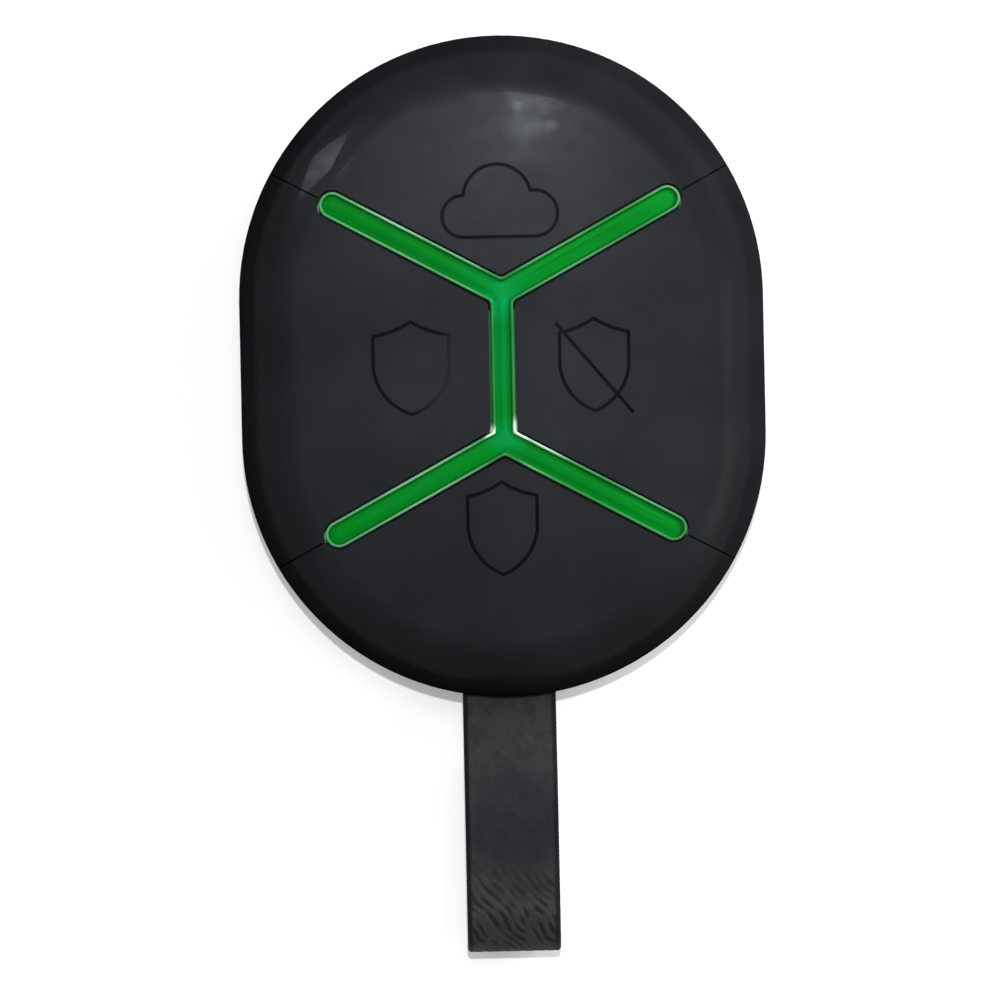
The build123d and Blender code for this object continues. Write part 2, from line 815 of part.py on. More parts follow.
antenna_outer = board_radius - antenna_margin
antenna_start = quarter_turn - antenna_angle / 2
with BuildPart() as antenna:
    with BuildSketch(Plane(origin=(0, end_offset, board_top))):
        with BuildLine():
            outer_arc = CenterArc((0, 0), antenna_outer, antenna_start, antenna_angle)
            inner_arc = CenterArc((0, 0), antenna_outer - antenna_width, antenna_start, antenna_angle)
            Line(outer_arc @ 0, inner_arc @ 0)
            Line(outer_arc @ 1, inner_arc @ 1)
        make_face()
    extrude(amount=antenna_thickness)

# Four identical screws, up from the back into the frame's bosses
with BuildPart() as case_screws:
    with BuildSketch(Plane.XY.offset(head_bottom)):
        with Locations(*screw_places()):
            Circle(screw_head_radius)
    extrude(amount=screw_head_height)
    with BuildSketch(Plane.XY.offset(head_top)):
        with Locations(*screw_places()):
            Circle(screw_radius)
    extrude(amount=screw_end - head_top)
    with BuildSketch(Plane.XY.offset(head_bottom)):
        with Locations(*screw_places()):
            RegularPolygon(screw_drive_radius, 6)
    extrude(amount=screw_drive_depth, mode=Mode.SUBTRACT)

pieces = {
    "rear_cover": rear_cover.part,
    "key_frame": key_frame.part,
    "light_guide": light_guide.part,
    "circuit_board": circuit_board.part,
    "coin_cell": coin_cell.part,
    "battery_clip": battery_clip.part,
    "battery_contact": battery_contact.part,
    "green_leds": green_leds.part,
    "radio_chip": radio_chip.part,
    "crystal": crystal.part,
    "chip_passives": chip_passives.part,
    "antenna": antenna.part,
    "case_screws": case_screws.part,
    "strap": strap.part,
    "strap_pin": strap_pin.part,
}
for key in key_headings:
    pieces[key] = make_key(key)
    pieces[key.replace("key", "switch")] = make_switch_body(key)
    pieces[key.replace("key", "plunger")] = make_plunger(key)

os.makedirs("parts", exist_ok=True)
for name, piece in pieces.items():
    piece.label = name
    export_step(piece, f"parts/{name}.step")
    print(name, round(piece.volume, 3))
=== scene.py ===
"""Looks of the alarm key fob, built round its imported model.

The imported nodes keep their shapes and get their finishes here. The strap and the light guide are
modelled again, finer than their solids. Sizes are in millimetres and become metres in the mesh.
"""

import json
import logging
import math
from collections.abc import Callable, Iterator, Sequence
from contextlib import contextmanager
from dataclasses import dataclass
from enum import Enum

import bmesh
import bpy
from mathutils import Matrix, Vector, noise

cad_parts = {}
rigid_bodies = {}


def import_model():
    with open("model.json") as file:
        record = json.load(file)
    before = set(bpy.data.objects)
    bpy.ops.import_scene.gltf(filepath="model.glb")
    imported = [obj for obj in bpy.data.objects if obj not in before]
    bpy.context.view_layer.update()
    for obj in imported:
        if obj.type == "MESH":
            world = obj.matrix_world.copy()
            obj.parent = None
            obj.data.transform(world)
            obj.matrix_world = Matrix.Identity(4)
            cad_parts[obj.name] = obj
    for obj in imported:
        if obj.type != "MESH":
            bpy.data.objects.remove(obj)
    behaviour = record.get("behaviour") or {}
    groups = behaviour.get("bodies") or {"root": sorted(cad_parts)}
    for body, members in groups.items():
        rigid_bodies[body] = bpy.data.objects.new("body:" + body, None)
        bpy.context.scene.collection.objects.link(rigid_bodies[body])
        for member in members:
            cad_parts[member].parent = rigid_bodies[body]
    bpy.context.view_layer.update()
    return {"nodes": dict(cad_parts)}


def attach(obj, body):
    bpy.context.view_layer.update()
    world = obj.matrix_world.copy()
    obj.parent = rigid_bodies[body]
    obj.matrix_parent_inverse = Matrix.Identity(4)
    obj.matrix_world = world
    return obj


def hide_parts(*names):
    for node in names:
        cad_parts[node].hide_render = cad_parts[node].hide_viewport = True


log = logging.getLogger("key_fob")
MM = 0.001
TINY = 1e-9

# Places nearer than the first count as one place, and doubles nearer than the second are merged
NEAR = 0.01 * MM
WELD = 0.002 * MM

Colour = tuple[float, float, float]
Scale = tuple[float, float, float]
Place = tuple[float, float]
Band = tuple[float, float]
Settings = dict[str, object]
Sockets = dict[object, object]
BLACK: Colour = (0.0, 0.0, 0.0)
WHITE: Colour = (1.0, 1.0, 1.0)


def clamped(value: float, least: float = 0.0) -> float:
    """Value kept from the least number to 1."""
    return min(1.0, max(least, value))


def wave(turns: float) -> float:
    """Wave from 0 to 1 that comes back to 1 at each whole turn."""
    return 0.5 + 0.5 * math.cos(2 * math.pi * turns)


# The face


@dataclass(frozen=True)
class FaceForm:
    """The crowned face that everything on top follows."""

    thickness: float = 12.0
    end_radius: float = 22.5
    end_offset: float = 5.9
    crown_reach: float = 17.5
    crown_drop: float = 1.7

    @property
    def crown_radius(self) -> float:
        """Radius of the crown's arc."""
        return (self.crown_reach**2 + self.crown_drop**2) / (2 * self.crown_drop)

    @property
    def crown_slope(self) -> float:
        """Slope at the crown's edge, in radians."""
        return math.asin(self.crown_reach / self.crown_radius)

    @property
    def corner_radius(self) -> float:
        """Radius of the corner that rolls into the side."""
        return (self.end_radius - self.crown_reach) / (1 - math.sin(self.crown_slope))

    @property
    def corner_centre(self) -> Place:
        """Reach and height of the corner arc's centre."""
        drop = self.crown_drop + self.corner_radius * math.cos(self.crown_slope)
        return self.end_radius - self.corner_radius, self.thickness - drop

    def height(self, x: float, y: float) -> float:
        """Height of the face over the back.

        Args:
            x: Place to the right, in millimetres.
            y: Place away from the strap, in millimetres.

        Returns:
            The height in millimetres.
        """
        reach = math.hypot(x, max(0.0, abs(y) - self.end_offset))
        if reach <= self.crown_reach:
            return self.thickness - self.crown_radius + math.sqrt(self.crown_radius**2 - reach**2)
        beyond = min(reach - self.corner_centre[0], self.corner_radius)
        return self.corner_centre[1] + math.sqrt(self.corner_radius**2 - beyond**2)


# Shader maths


class Signal:
    """A node's output on which Python's arithmetic adds Math nodes."""

    def __init__(self, paint: "Paint", socket: bpy.types.NodeSocket) -> None:
        """Wraps an output socket of a material."""
        self.paint = paint
        self.socket = socket

    def __add__(self, other: "Signal | float") -> "Signal":
        """Sum of two values."""
        return self.paint.maths("ADD", self, other)

    def __sub__(self, other: "Signal | float") -> "Signal":
        """Difference of two values."""
        return self.paint.maths("SUBTRACT", self, other)

    def __rsub__(self, other: float) -> "Signal":
        """Difference with the plain number first."""
        return self.paint.maths("SUBTRACT", other, self)

    def __mul__(self, other: "Signal | float") -> "Signal":
        """Product of two values."""
        return self.paint.maths("MULTIPLY", self, other)

    def __truediv__(self, other: "Signal | float") -> "Signal":
        """Quotient of two values."""
        return self.paint.maths("DIVIDE", self, other)

    __radd__ = __add__
    __rmul__ = __mul__

    def bent(self, operation: str, other: "Signal | float" = 0.0) -> "Signal":
        """Value after a Math node of the named operation."""
        return self.paint.maths(operation, self, other)

    def ramp(self, low: float, high: float) -> "Signal":
        """Value eased from one number to another.

        Args:
            low: Number that becomes 0.
            high: Number that becomes 1.

        Returns:
            Value from 0 to 1.
        """
        settings = {"interpolation_type": "SMOOTHSTEP"}
        values = {"Value": self, "From Min": low, "From Max": high}
        return self.paint.out("ShaderNodeMapRange", settings, values, "Result")

    def lifted(self, least: float) -> "Signal":
        """Value from 0 to 1, squeezed to run from the least number to 1."""
        return least + (1.0 - least) * self


class Paint:
    """One node material under construction."""

    def __init__(self, name: str) -> None:
        """Starts an empty material.

        Args:
            name: Name of the material.
        """
        self.material = bpy.data.materials.new(name)
        self.material.use_nodes = True
        self.tree = self.material.node_tree
        self.tree.nodes.clear()
        self.end = self.tree.nodes.new("ShaderNodeOutputMaterial")

    def node(self, kind: str, settings: Settings, values: Sockets) -> bpy.types.Node:
        """Adds a node.

        Args:
            kind: Blender's name of the node type.
            settings: Properties of the node, set before its sockets.
            values: Number, colour, Signal or socket for each named input.

        Returns:
            The new node.
        """
        made = self.tree.nodes.new(kind)
        for key, value in settings.items():
            setattr(made, key, value)
        for key, value in values.items():
            if isinstance(value, Signal):
                self.tree.links.new(value.socket, made.inputs[key])
            elif isinstance(value, bpy.types.NodeSocket):
                self.tree.links.new(value, made.inputs[key])
            elif isinstance(value, tuple) and made.inputs[key].type == "RGBA":
                made.inputs[key].default_value = (*value, 1.0)
            else:
                made.inputs[key].default_value = value
        return made

    def out(self, kind: str, settings: Settings, values: Sockets, output: str) -> Signal:
        """Adds a node and returns one of its outputs as a Signal."""
        return Signal(self, self.node(kind, settings, values).outputs[output])

    def maths(self, operation: str, first: Signal | float, second: Signal | float) -> Signal:
        """Adds a Math node of the operation on two values."""
        return self.out("ShaderNodeMath", {"operation": operation}, {0: first, 1: second}, "Value")

    def place(self) -> Signal:
        """Object coordinates of the shaded point, in metres."""
        return self.out("ShaderNodeTexCoord", {}, {}, "Object")

    def coordinates(self, names: str) -> list[Signal]:
        """Object coordinates of the shaded point on the named axes, in millimetres."""
        values = {"Vector": self.place()}
        return [self.out("ShaderNodeSeparateXYZ", {}, values, name) / MM for name in names]

    def attribute(self, name: str) -> Signal:
        """Number that the mesh holds for each vertex under a name."""
        return self.out("ShaderNodeAttribute", {"attribute_name": name}, {}, "Fac")

    def stretched(self, vector: Signal, scale: Scale) -> Signal:
        """Vector scaled along its own axes, by a Mapping node."""
        return self.out("ShaderNodeMapping", {}, {"Vector": vector, "Scale": scale}, "Vector")

    def noise(self, grain: float, detail: float = 2.0, vector: Signal | None = None) -> Signal:
        """Cloudy noise from about 0.3 to 0.7, its features of the grain's size."""
        values = {"Vector": vector or self.place(), "Scale": 1.0 / (grain * MM), "Detail": detail}
        return self.out("ShaderNodeTexNoise", {"noise_dimensions": "3D"}, values, "Fac")

    def cells(self, size: float) -> Signal:
        """Distance to the nearest of scattered points, from 0 to about 1."""
        values = {"Vector": self.place(), "Scale": 1.0 / (size * MM)}
        return self.out("ShaderNodeTexVoronoi", {}, values, "Distance")

    def blend(
        self, share: Signal | float, first: Signal | Colour, second: Signal | Colour
    ) -> Signal:
        """Colour mixed from the first to the second by share."""
        mix = self.node("ShaderNodeMix", {"data_type": "RGBA"}, {0: share, 6: first, 7: second})
        return Signal(self, mix.outputs[2])

    def relief(self, height: Signal, depth: float) -> Signal:
        """Normal bent by a height of 0 to 1, over a relief's depth in millimetres."""
        values = {"Height": height, "Distance": depth * MM, "Strength": 1.0}
        return self.out("ShaderNodeBump", {}, values, "Normal")

    def shader(self, *parts: Settings) -> bpy.types.Node:
        """Adds a Principled shader with its sockets set from the parts."""
        values = {key: value for part in parts for key, value in part.items()}
        return self.node("ShaderNodeBsdfPrincipled", {}, values)

    def lamp(self, colour: Colour, strength: Signal | float) -> bpy.types.Node:
        """Adds a shader that gives off light."""
        return self.node("ShaderNodeEmission", {}, {"Color": colour, "Strength": strength})

    def mixed(self, share: Signal, first: bpy.types.Node, second: bpy.types.Node) -> bpy.types.Node:
        """Mixes two shaders, from the first to the second by share."""
        ends = {1: first.outputs[0], 2: second.outputs[0]}
        return self.node("ShaderNodeMixShader", {}, {0: share, **ends})

    def close(self, shader: bpy.types.Node) -> None:
        """Ends the material in a shader."""
        self.tree.links.new(shader.outputs[0], self.end.inputs["Surface"])

    def shell(self, **values: object) -> None:
        """Ends the material in one Principled shader, its sockets named with underscores."""
        self.close(self.shader({key.replace("_", " "): value for key, value in values.items()}))


# Finishes


@dataclass(frozen=True)
class Finish:
    """Base of every finish of the fob."""

    label: str

    def paint(self) -> bpy.types.Material:
        """Builds the node material.

        Returns:
            The finished material.
        """
        paint = Paint(self.label)
        self.cover(paint)
        return paint.material

    def cover(self, paint: Paint) -> None:
        """Adds this finish's nodes to the paint."""
        raise NotImplementedError


@dataclass(frozen=True)
class MouldedPlastic(Finish):
    """Moulded plastic with a fine eroded grain and faint handling marks."""

    colour: Colour
    roughness: float = 0.4
    grain: float = 0.16
    grain_depth: float = 0.002
    marks: float = 0.06
    shine: float = 0.5
    drift_size: float = 9.0
    drift_band: Band = (0.3, 0.7)
    smudge_size: float = 3.2
    smudge_band: Band = (0.38, 0.68)
    pale: float = 1.18
    deep: float = 0.84
    pore_share: float = 0.6

    def tone(self, level: float) -> Colour:
        """The colour at a level of its own."""
        return tuple(level * part for part in self.colour)

    def texture(self, paint: Paint) -> Settings:
        """Sockets that the grain, the marks and the colour drift feed.

        Args:
            paint: The material under construction.

        Returns:
            Value of each of those sockets.
        """
        drift = paint.noise(self.drift_size, detail=3.0).ramp(*self.drift_band)
        smudge = paint.noise(self.smudge_size, detail=4.0).ramp(*self.smudge_band) - 0.5
        pores = paint.cells(self.grain)
        fine = paint.noise(self.grain / 2, detail=1.0)
        grain = pores * self.pore_share + fine * (1.0 - self.pore_share)
        return {
            "Base Color": paint.blend(drift, self.tone(self.deep), self.tone(self.pale)),
            "Roughness": self.roughness + smudge * self.marks + (fine - 0.5) * (self.marks / 2),
            "Normal": paint.relief(grain, self.grain_depth),
        }

    def cover(self, paint: Paint) -> None:
        """Adds the texture to one shader."""
        paint.close(paint.shader(self.texture(paint), {"Specular IOR Level": self.shine}))


@dataclass(frozen=True)
class Spot:
    """Round patch that fades out from its middle."""

    place: Place
    reach: float
    strength: float

    def share(self, x: Signal, y: Signal) -> Signal:
        """Strength at a place, fading out from the middle.

        Args:
            x: Place to the right, in millimetres.
            y: Place away from the strap, in millimetres.

        Returns:
            The strength, which is 0 past the reach.
        """
        aside, ahead = x - self.place[0], y - self.place[1]
        away = (aside * aside + ahead * ahead).bent("SQRT")
        return (1.0 - away.ramp(0.0, self.reach)) * self.strength


def strongest(spots: Sequence[Spot], x: Signal, y: Signal) -> Signal:
    """Share of the strongest of some patches at a place.

    Args:
        spots: The patches.
        x: Place to the right, in millimetres.
        y: Place away from the strap, in millimetres.

    Returns:
        The share, at most 1.
    """
    share = spots[0].share(x, y)
    for spot in spots[1:]:
        share = share.bent("MAXIMUM", spot.share(x, y))
    return share.bent("MINIMUM", 1.0)


@dataclass(frozen=True)
class SatinCase(MouldedPlastic):
    """Satin case plastic, polished in spots, dull with painted shade on sides and engraving."""

    face: FaceForm = FaceForm()
    skin: float = 0.14
    skin_least: float = 0.7
    skin_roughness: float = 0.2
    polish: float = 0.55
    polish_least: float = 0.65
    polish_roughness: float = 0.045
    smear_size: float = 1.7
    smear_band: Band = (0.36, 0.66)
    smear_share: float = 0.6
    spots: tuple[Spot, ...] = (
        Spot((-16.2, 18.6), 4.6, 4.0), Spot((2.8, 21.6), 3.6, 0.2), Spot((1.7, 22.2), 0.9, 0.4),
        Spot((4.0, 21.65), 0.7, 0.3), Spot((4.6, 20.5), 0.9, 0.35),
    )
    # Where the engraving's painted shade fades out, as light falls further into the grooves
    worn_and_shade_faded: tuple[Spot, ...] = (
        Spot((-4.9, -1.2), 4.4, 1.7), Spot((-3.6, 1.9), 2.6, 1.2), Spot((6.6, -4.9), 2.4, 0.8),
    )
    cut_shade_fade: float = 0.9
    # Patchy strength of the engraving's painted shade
    cut_shade_patch_size: float = 3.5
    cut_shade_patch_least: float = 0.7
    cut_shade_patch_spread: float = 0.5
    dull_band: Band = (0.1, 0.64)
    cut_band: Band = (0.03, 0.1)
    cut_deepest: float = 0.5
    cut_margin: float = 0.6
    # Colour level of the engraving's painted shade, and how far it dulls the gloss
    cut_shade_tone: float = 0.42
    cut_dull: float = 0.7
    side_shade: float = 0.36
    caps_band: Band = (5.0, 6.0)

    def cover(self, paint: Paint) -> None:
        """Adds satin, polished and dull shaders by place, slope and depth, with painted shade.

        Args:
            paint: The material under construction.
        """
        texture = self.texture(paint)
        x, y, z = paint.coordinates("XYZ")
        past = (y.bent("ABSOLUTE") - self.face.end_offset).bent("MAXIMUM", 0.0)
        reach = (x * x + past * past).bent("SQRT")
        caps = z.ramp(*self.caps_band)
        # Painted shade in the engraving: by depth, in patches, and faded out in places
        patchy = paint.noise(self.cut_shade_patch_size, detail=1.0)
        cut_shade_patches = self.cut_shade_patch_least + self.cut_shade_patch_spread * patchy
        left = cut_shade_patches * (1.0 - strongest(self.worn_and_shade_faded, x, y) * self.cut_shade_fade)
        cut_shade = self.depth(reach, z).ramp(*self.cut_band) * caps * left
        texture["Base Color"] = paint.blend(cut_shade, texture["Base Color"], self.tone(self.cut_shade_tone))
        patches = paint.noise(self.smear_size, detail=3.0).ramp(*self.smear_band)
        smears = patches * self.smear_share
        base = {**texture, "Specular IOR Level": self.shine}
        skin = self.skin * (self.skin_least + smears)
        satin = paint.shader(base, {"Coat Weight": skin, "Coat Roughness": self.skin_roughness})
        polish = self.polish * (self.polish_least + smears)
        polished = paint.shader(
            base, {"Coat Weight": polish, "Coat Roughness": self.polish_roughness}
        )
        gloss = paint.mixed(strongest(self.spots, x, y) * caps, satin, polished)
        shaded = paint.blend(self.side_shade, texture["Base Color"], BLACK)
        dull = paint.shader(texture, {"Base Color": shaded, "Specular IOR Level": 0.0})
        share = self.steepness(reach).bent("MAXIMUM", cut_shade * self.cut_dull).bent("MINIMUM", 1.0)
        paint.close(paint.mixed(share, gloss, dull))

    def steepness(self, reach: Signal) -> Signal:
        """How far the form slopes down.

        Args:
            reach: Distance out from the middle line, in millimetres.

        Returns:
            0 on top, and 1 or more at the side.
        """
        corner = (reach - self.face.corner_centre[0]) / self.face.corner_radius
        tilt = (reach / self.face.crown_radius).bent("MAXIMUM", corner).bent("MINIMUM", 1.0)
        slant = (1.0 - (1.0 - tilt * tilt).bent("SQRT")).bent("SQRT")
        return (slant - self.dull_band[0]) / (self.dull_band[1] - self.dull_band[0])

    def depth(self, reach: Signal, z: Signal) -> Signal:
        """Depth under the crowned face.

        Args:
            reach: Distance out from the middle line, in millimetres.
            z: Height over the back, in millimetres.

        Returns:
            The depth in millimetres, which is 0 out on the rolled corner.
        """
        face = self.face
        rise = face.thickness - face.crown_radius
        crown = (face.crown_radius**2 - reach * reach).bent("SQRT") + rise
        inside = 1.0 - reach.ramp(face.crown_reach - self.cut_margin, face.crown_reach)
        return (crown - z).bent("MINIMUM", self.cut_deepest) * inside


@dataclass(frozen=True)
class GuideResin(Finish):
    """Deep green resin with painted light: lip and crest highlights, glints and patches of glow."""

    core: Colour = (0.0006, 0.100, 0.0055)
    crest_highlight: Colour = (0.0016, 0.205, 0.0150)
    glow: Colour = (0.0016, 0.275, 0.060)
    lip_highlight: Colour = (0.100, 0.345, 0.150)
    glint: Colour = (0.56, 0.84, 0.60)
    lip_band: Band = (0.16, 0.24)
    lip_least: float = 0.6
    lip_spread: float = 0.55
    lip_coat: float = 0.5
    lip_coat_roughness: float = 0.2
    crest_at: float = 0.62
    crest_least: float = 0.72
    glow_least: float = 0.45
    streak_size: float = 7.0
    streak_band: Band = (0.3, 0.7)
    shade_reach: float = 15.0
    bar_dim: float = 0.42
    bar_band: Band = (0.8, 2.4)
    grain: float = 0.35
    grain_depth: float = 0.003
    grain_roughness: float = 0.2
    roughness: float = 0.3
    shine: float = 0.05
    glows: tuple[Spot, ...] = (
        Spot((0.0, 5.4), 2.3, 1.0), Spot((0.2, -6.0), 2.4, 0.75), Spot((0.0, 7.2), 5.0, 0.45),
        Spot((0.0, 0.6), 6.5, 0.34),
    )
    glints: tuple[Spot, ...] = (
        Spot((-1.2, -5.6), 0.9, 1.5), Spot((1.2, -5.6), 1.6, 1.5), Spot((3.4, -6.8), 3.0, 0.55),
        Spot((-7.5, -9.2), 6.0, 0.25), Spot((-9.0, 12.2), 4.0, 0.2),
    )

    def cover(self, paint: Paint) -> None:
        """Adds painted highlights on lips and crest, painted shade on the core and painted glow.

        Args:
            paint: The material under construction.
        """
        inset = paint.attribute("inset")
        x, y = paint.coordinates("XY")
        lips = 1.0 - inset.ramp(*self.lip_band)
        # Painted shading of the rounded core: darker at its sides, with a streaky painted highlight
        # on the crest
        swell = inset.ramp(self.lip_band[1], self.crest_at)
        rounded = swell * (2.0 - swell)
        streak = paint.noise(self.streak_size, detail=2.0).ramp(*self.streak_band)
        lit = paint.blend(rounded * streak.lifted(self.crest_least), self.core, self.crest_highlight)
        # Painted patches of glow
        for spot in self.glows:
            lit = paint.blend(spot.share(x, y) * rounded.lifted(self.glow_least), lit, self.glow)
        # Painted highlight on the lips: dimmer on the middle bar and towards the right, in streaks
        eastward = x.ramp(-self.shade_reach, self.shade_reach)
        arms = x.bent("ABSOLUTE").ramp(*self.bar_band)
        level = arms.lifted(self.bar_dim) * (1.0 - self.bar_dim * eastward)
        pale = level * (self.lip_least + self.lip_spread * streak)
        bright = paint.blend(lips * pale, lit, self.lip_highlight)
        # Painted glints on the lips
        for spot in self.glints:
            share = (lips * spot.share(x, y)).bent("MINIMUM", 1.0)
            bright = paint.blend(share, bright, self.glint)
        grain = paint.noise(self.grain, detail=2.0)
        paint.shell(
            Base_Color=bright,
            Roughness=self.roughness + self.grain_roughness * grain,
            Normal=paint.relief(grain, self.grain_depth),
            Specular_IOR_Level=self.shine,
            Coat_Weight=lips * self.lip_coat,
            Coat_Roughness=self.lip_coat_roughness,
        )


@dataclass(frozen=True)
class Metal(Finish):
    """Plated or plain metal with rolling marks along one axis."""

    colour: Colour
    roughness: float = 0.3
    rolling: Scale = (1.0, 14.0, 14.0)
    tarnish: float = 0.15
    tarnish_dark: float = 2.2
    line_size: float = 1.2
    line_share: float = 0.2
    line_roughness: float = 0.12
    line_depth: float = 0.0015
    haze_size: float = 4.0
    haze_band: Band = (0.42, 0.7)
    haze_share: float = 0.6

    def cover(self, paint: Paint) -> None:
        """Adds the rolling marks and the tarnish.

        Args:
            paint: The material under construction.
        """
        rolled = paint.stretched(paint.place(), self.rolling)
        lines = paint.noise(self.line_size, detail=4.0, vector=rolled)
        haze = paint.noise(self.haze_size, detail=3.0).ramp(*self.haze_band)
        dull = tuple(part * (1.0 - self.tarnish_dark * self.tarnish) for part in self.colour)
        share = haze * self.haze_share + lines * self.line_share
        paint.shell(
            Base_Color=paint.blend(share, self.colour, dull),
            Metallic=1.0,
            Roughness=self.roughness + haze * self.tarnish + (lines - 0.5) * self.line_roughness,
            Normal=paint.relief(lines, self.line_depth),
        )


@dataclass(frozen=True)
class BoardLaminate(Finish):
    """Solder mask over copper: routed tracks, plated holes and a faint glass weave."""

    mask: Colour = (0.006, 0.045, 0.018)
    track: Colour = (0.016, 0.09, 0.034)
    plated: Colour = (0.72, 0.66, 0.5)
    pitch: float = 1.3
    track_band: Band = (0.32, 0.36)
    hole_pitch: float = 2.6
    hole_band: Band = (0.09, 0.11)
    area_size: float = 6.0
    area_band: Band = (0.49, 0.51)
    weave_size: float = 0.5
    weave_share: float = 0.2
    weave_roughness: float = 0.12
    roughness: float = 0.32
    relief: float = 0.02

    def cover(self, paint: Paint) -> None:
        """Adds tracks in two directions by area, and plated holes on a grid.

        Args:
            paint: The material under construction.
        """
        turn = paint.noise(self.area_size, detail=0.0).ramp(*self.area_band)
        across, along = paint.coordinates("XY")
        line = (across * turn + along * (1.0 - turn)) / self.pitch
        track = (line.bent("FRACT") - 0.5).bent("ABSOLUTE").ramp(*self.track_band)
        cell_x, cell_y = ((way / self.hole_pitch).bent("FRACT") - 0.5 for way in (across, along))
        reach = (cell_x * cell_x + cell_y * cell_y).bent("SQRT")
        hole = 1.0 - reach.ramp(*self.hole_band)
        weave = paint.noise(self.weave_size, detail=2.0)
        height = track * (1.0 - self.weave_share) + weave * self.weave_share
        covered = paint.blend(track, self.mask, self.track)
        paint.shell(
            Base_Color=paint.blend(hole, covered, self.plated),
            Metallic=hole,
            Roughness=self.roughness + self.weave_roughness * weave,
            Normal=paint.relief(height, self.relief),
        )


@dataclass(frozen=True)
class Webbing(Finish):
    """Grey nylon webbing whose yarns follow the strap's own UV map and relief."""

    yarn: Colour
    hollow_shade: Colour
    edge: Colour
    dark_patch_colour: Colour
    dark_patch: Spot = Spot((0.3, -39.0), 7.5, 1.6)
    dark_patch_most: float = 0.9
    filament_size: float = 0.11
    filament_lay: Scale = (1.0, 0.16, 1.0)
    filament_depth: float = 0.03
    lit_band: Band = (0.15, 0.8)
    lit_least: float = 0.72
    lit_spread: float = 0.4
    drift_size: float = 1.3
    drift_band: Band = (0.42, 0.68)
    drift_share: float = 0.35
    edge_share: float = 0.85
    roughness: float = 0.8
    filament_roughness: float = 0.2
    sheen: float = 0.02
    sheen_roughness: float = 0.5
    shine: float = 0.15

    def cover(self, paint: Paint) -> None:
        """Adds filaments along the yarns, painted shade in the hollows between them and dark edges.

        Args:
            paint: The material under construction.
        """
        lay = paint.out("ShaderNodeUVMap", {"uv_map": "weave"}, {}, "UV")
        raised = paint.attribute("raised")
        # Dark edges: partly the selvedge's own tighter weave, partly painted shade where the edge
        # rolls down
        rim = paint.attribute("selvedge")
        drawn = paint.stretched(lay, self.filament_lay)
        filament = paint.noise(self.filament_size, detail=2.0, vector=drawn)
        drift = paint.noise(self.drift_size, detail=3.0)
        # Painted shade: darker down in the hollows between the yarns
        lit = raised.ramp(*self.lit_band) * (self.lit_least + self.lit_spread * filament)
        body = paint.blend(lit, self.hollow_shade, self.yarn)
        # Darker patch in the middle of the strap's length
        dark_patch = self.dark_patch.share(*paint.coordinates("XY"))
        body = paint.blend(dark_patch.bent("MINIMUM", self.dark_patch_most), body, self.dark_patch_colour)
        # Random darker mottling, the webbing's own uneven tone
        worn_and_shade_faded = paint.blend(drift.ramp(*self.drift_band) * self.drift_share, body, self.hollow_shade)
        paint.shell(
            Base_Color=paint.blend(rim * self.edge_share, worn_and_shade_faded, self.edge),
            Roughness=self.roughness + self.filament_roughness * (filament - 0.5),
            Normal=paint.relief(filament, self.filament_depth),
            Sheen_Weight=self.sheen,
            Sheen_Roughness=self.sheen_roughness,
            Specular_IOR_Level=self.shine,
        )


@dataclass(frozen=True)
class PaleFloor(Finish):
    """Pale floor that keeps shadows and reads white."""

    colour: float = 0.74
    lift: float = 0.31

    def cover(self, paint: Paint) -> None:
        """Adds the lift for camera, glossy and transmitted rays to a matte shader.

        Args:
            paint: The material under construction.
        """
        ray = paint.node("ShaderNodeLightPath", {}, {})
        seen = Signal(paint, ray.outputs["Is Camera Ray"])
        gloss = Signal(paint, ray.outputs["Is Glossy Ray"])
        through = Signal(paint, ray.outputs["Is Transmission Ray"])
        share = (seen + gloss + through).bent("MINIMUM", 1.0)
        matte = paint.node("ShaderNodeBsdfDiffuse", {}, {"Color": (self.colour,) * 3})
        white = paint.lamp(WHITE, share * self.lift)
        ends = {0: matte.outputs[0], 1: white.outputs[0]}
        paint.close(paint.node("ShaderNodeAddShader", {}, ends))


class Coat(Enum):
    """Finish of each material slot in the record."""

    SATIN_BLACK = SatinCase("satin_black_plastic", (0.0122, 0.0128, 0.0147), shine=0.26)
    INNER_BLACK = MouldedPlastic("inner_black_plastic", (0.012, 0.012, 0.013), 0.6, 0.3, 0.004)
    GUIDE = GuideResin("green_light_guide")
    BOARD = BoardLaminate("board_laminate")
    NICKEL = Metal("nickel_plate", (0.66, 0.63, 0.58), 0.28)
    GOLD = Metal("gold_plate", (0.88, 0.66, 0.28), 0.25, tarnish=0.08)
    LED = MouldedPlastic("led_resin", (0.62, 0.66, 0.5), 0.2, 0.2, 0.001)
    CHIP = MouldedPlastic("chip_resin", (0.018, 0.018, 0.019), 0.55, 0.09, 0.004)
    CERAMIC = MouldedPlastic("ceramic_passive", (0.3, 0.21, 0.13), 0.45, 0.08, 0.002)
    COPPER = Metal("copper_trace", (0.85, 0.42, 0.24), 0.35, tarnish=0.12)
    SCREW = Metal("screw_steel", (0.32, 0.32, 0.34), 0.36, (6.0, 6.0, 1.0))
    WEBBING = Webbing(
        "grey_webbing",
        yarn=(0.0391, 0.0397, 0.0377),
        hollow_shade=(0.0115, 0.0115, 0.012),
        edge=(0.004, 0.004, 0.0048),
        dark_patch_colour=(0.0181, 0.0174, 0.0212),
    )
    SWITCH = MouldedPlastic("switch_housing", (0.03, 0.03, 0.03), 0.5, 0.2, 0.003)
    BUTTON = MouldedPlastic("switch_button", (0.72, 0.7, 0.64), 0.35, 0.2, 0.002)


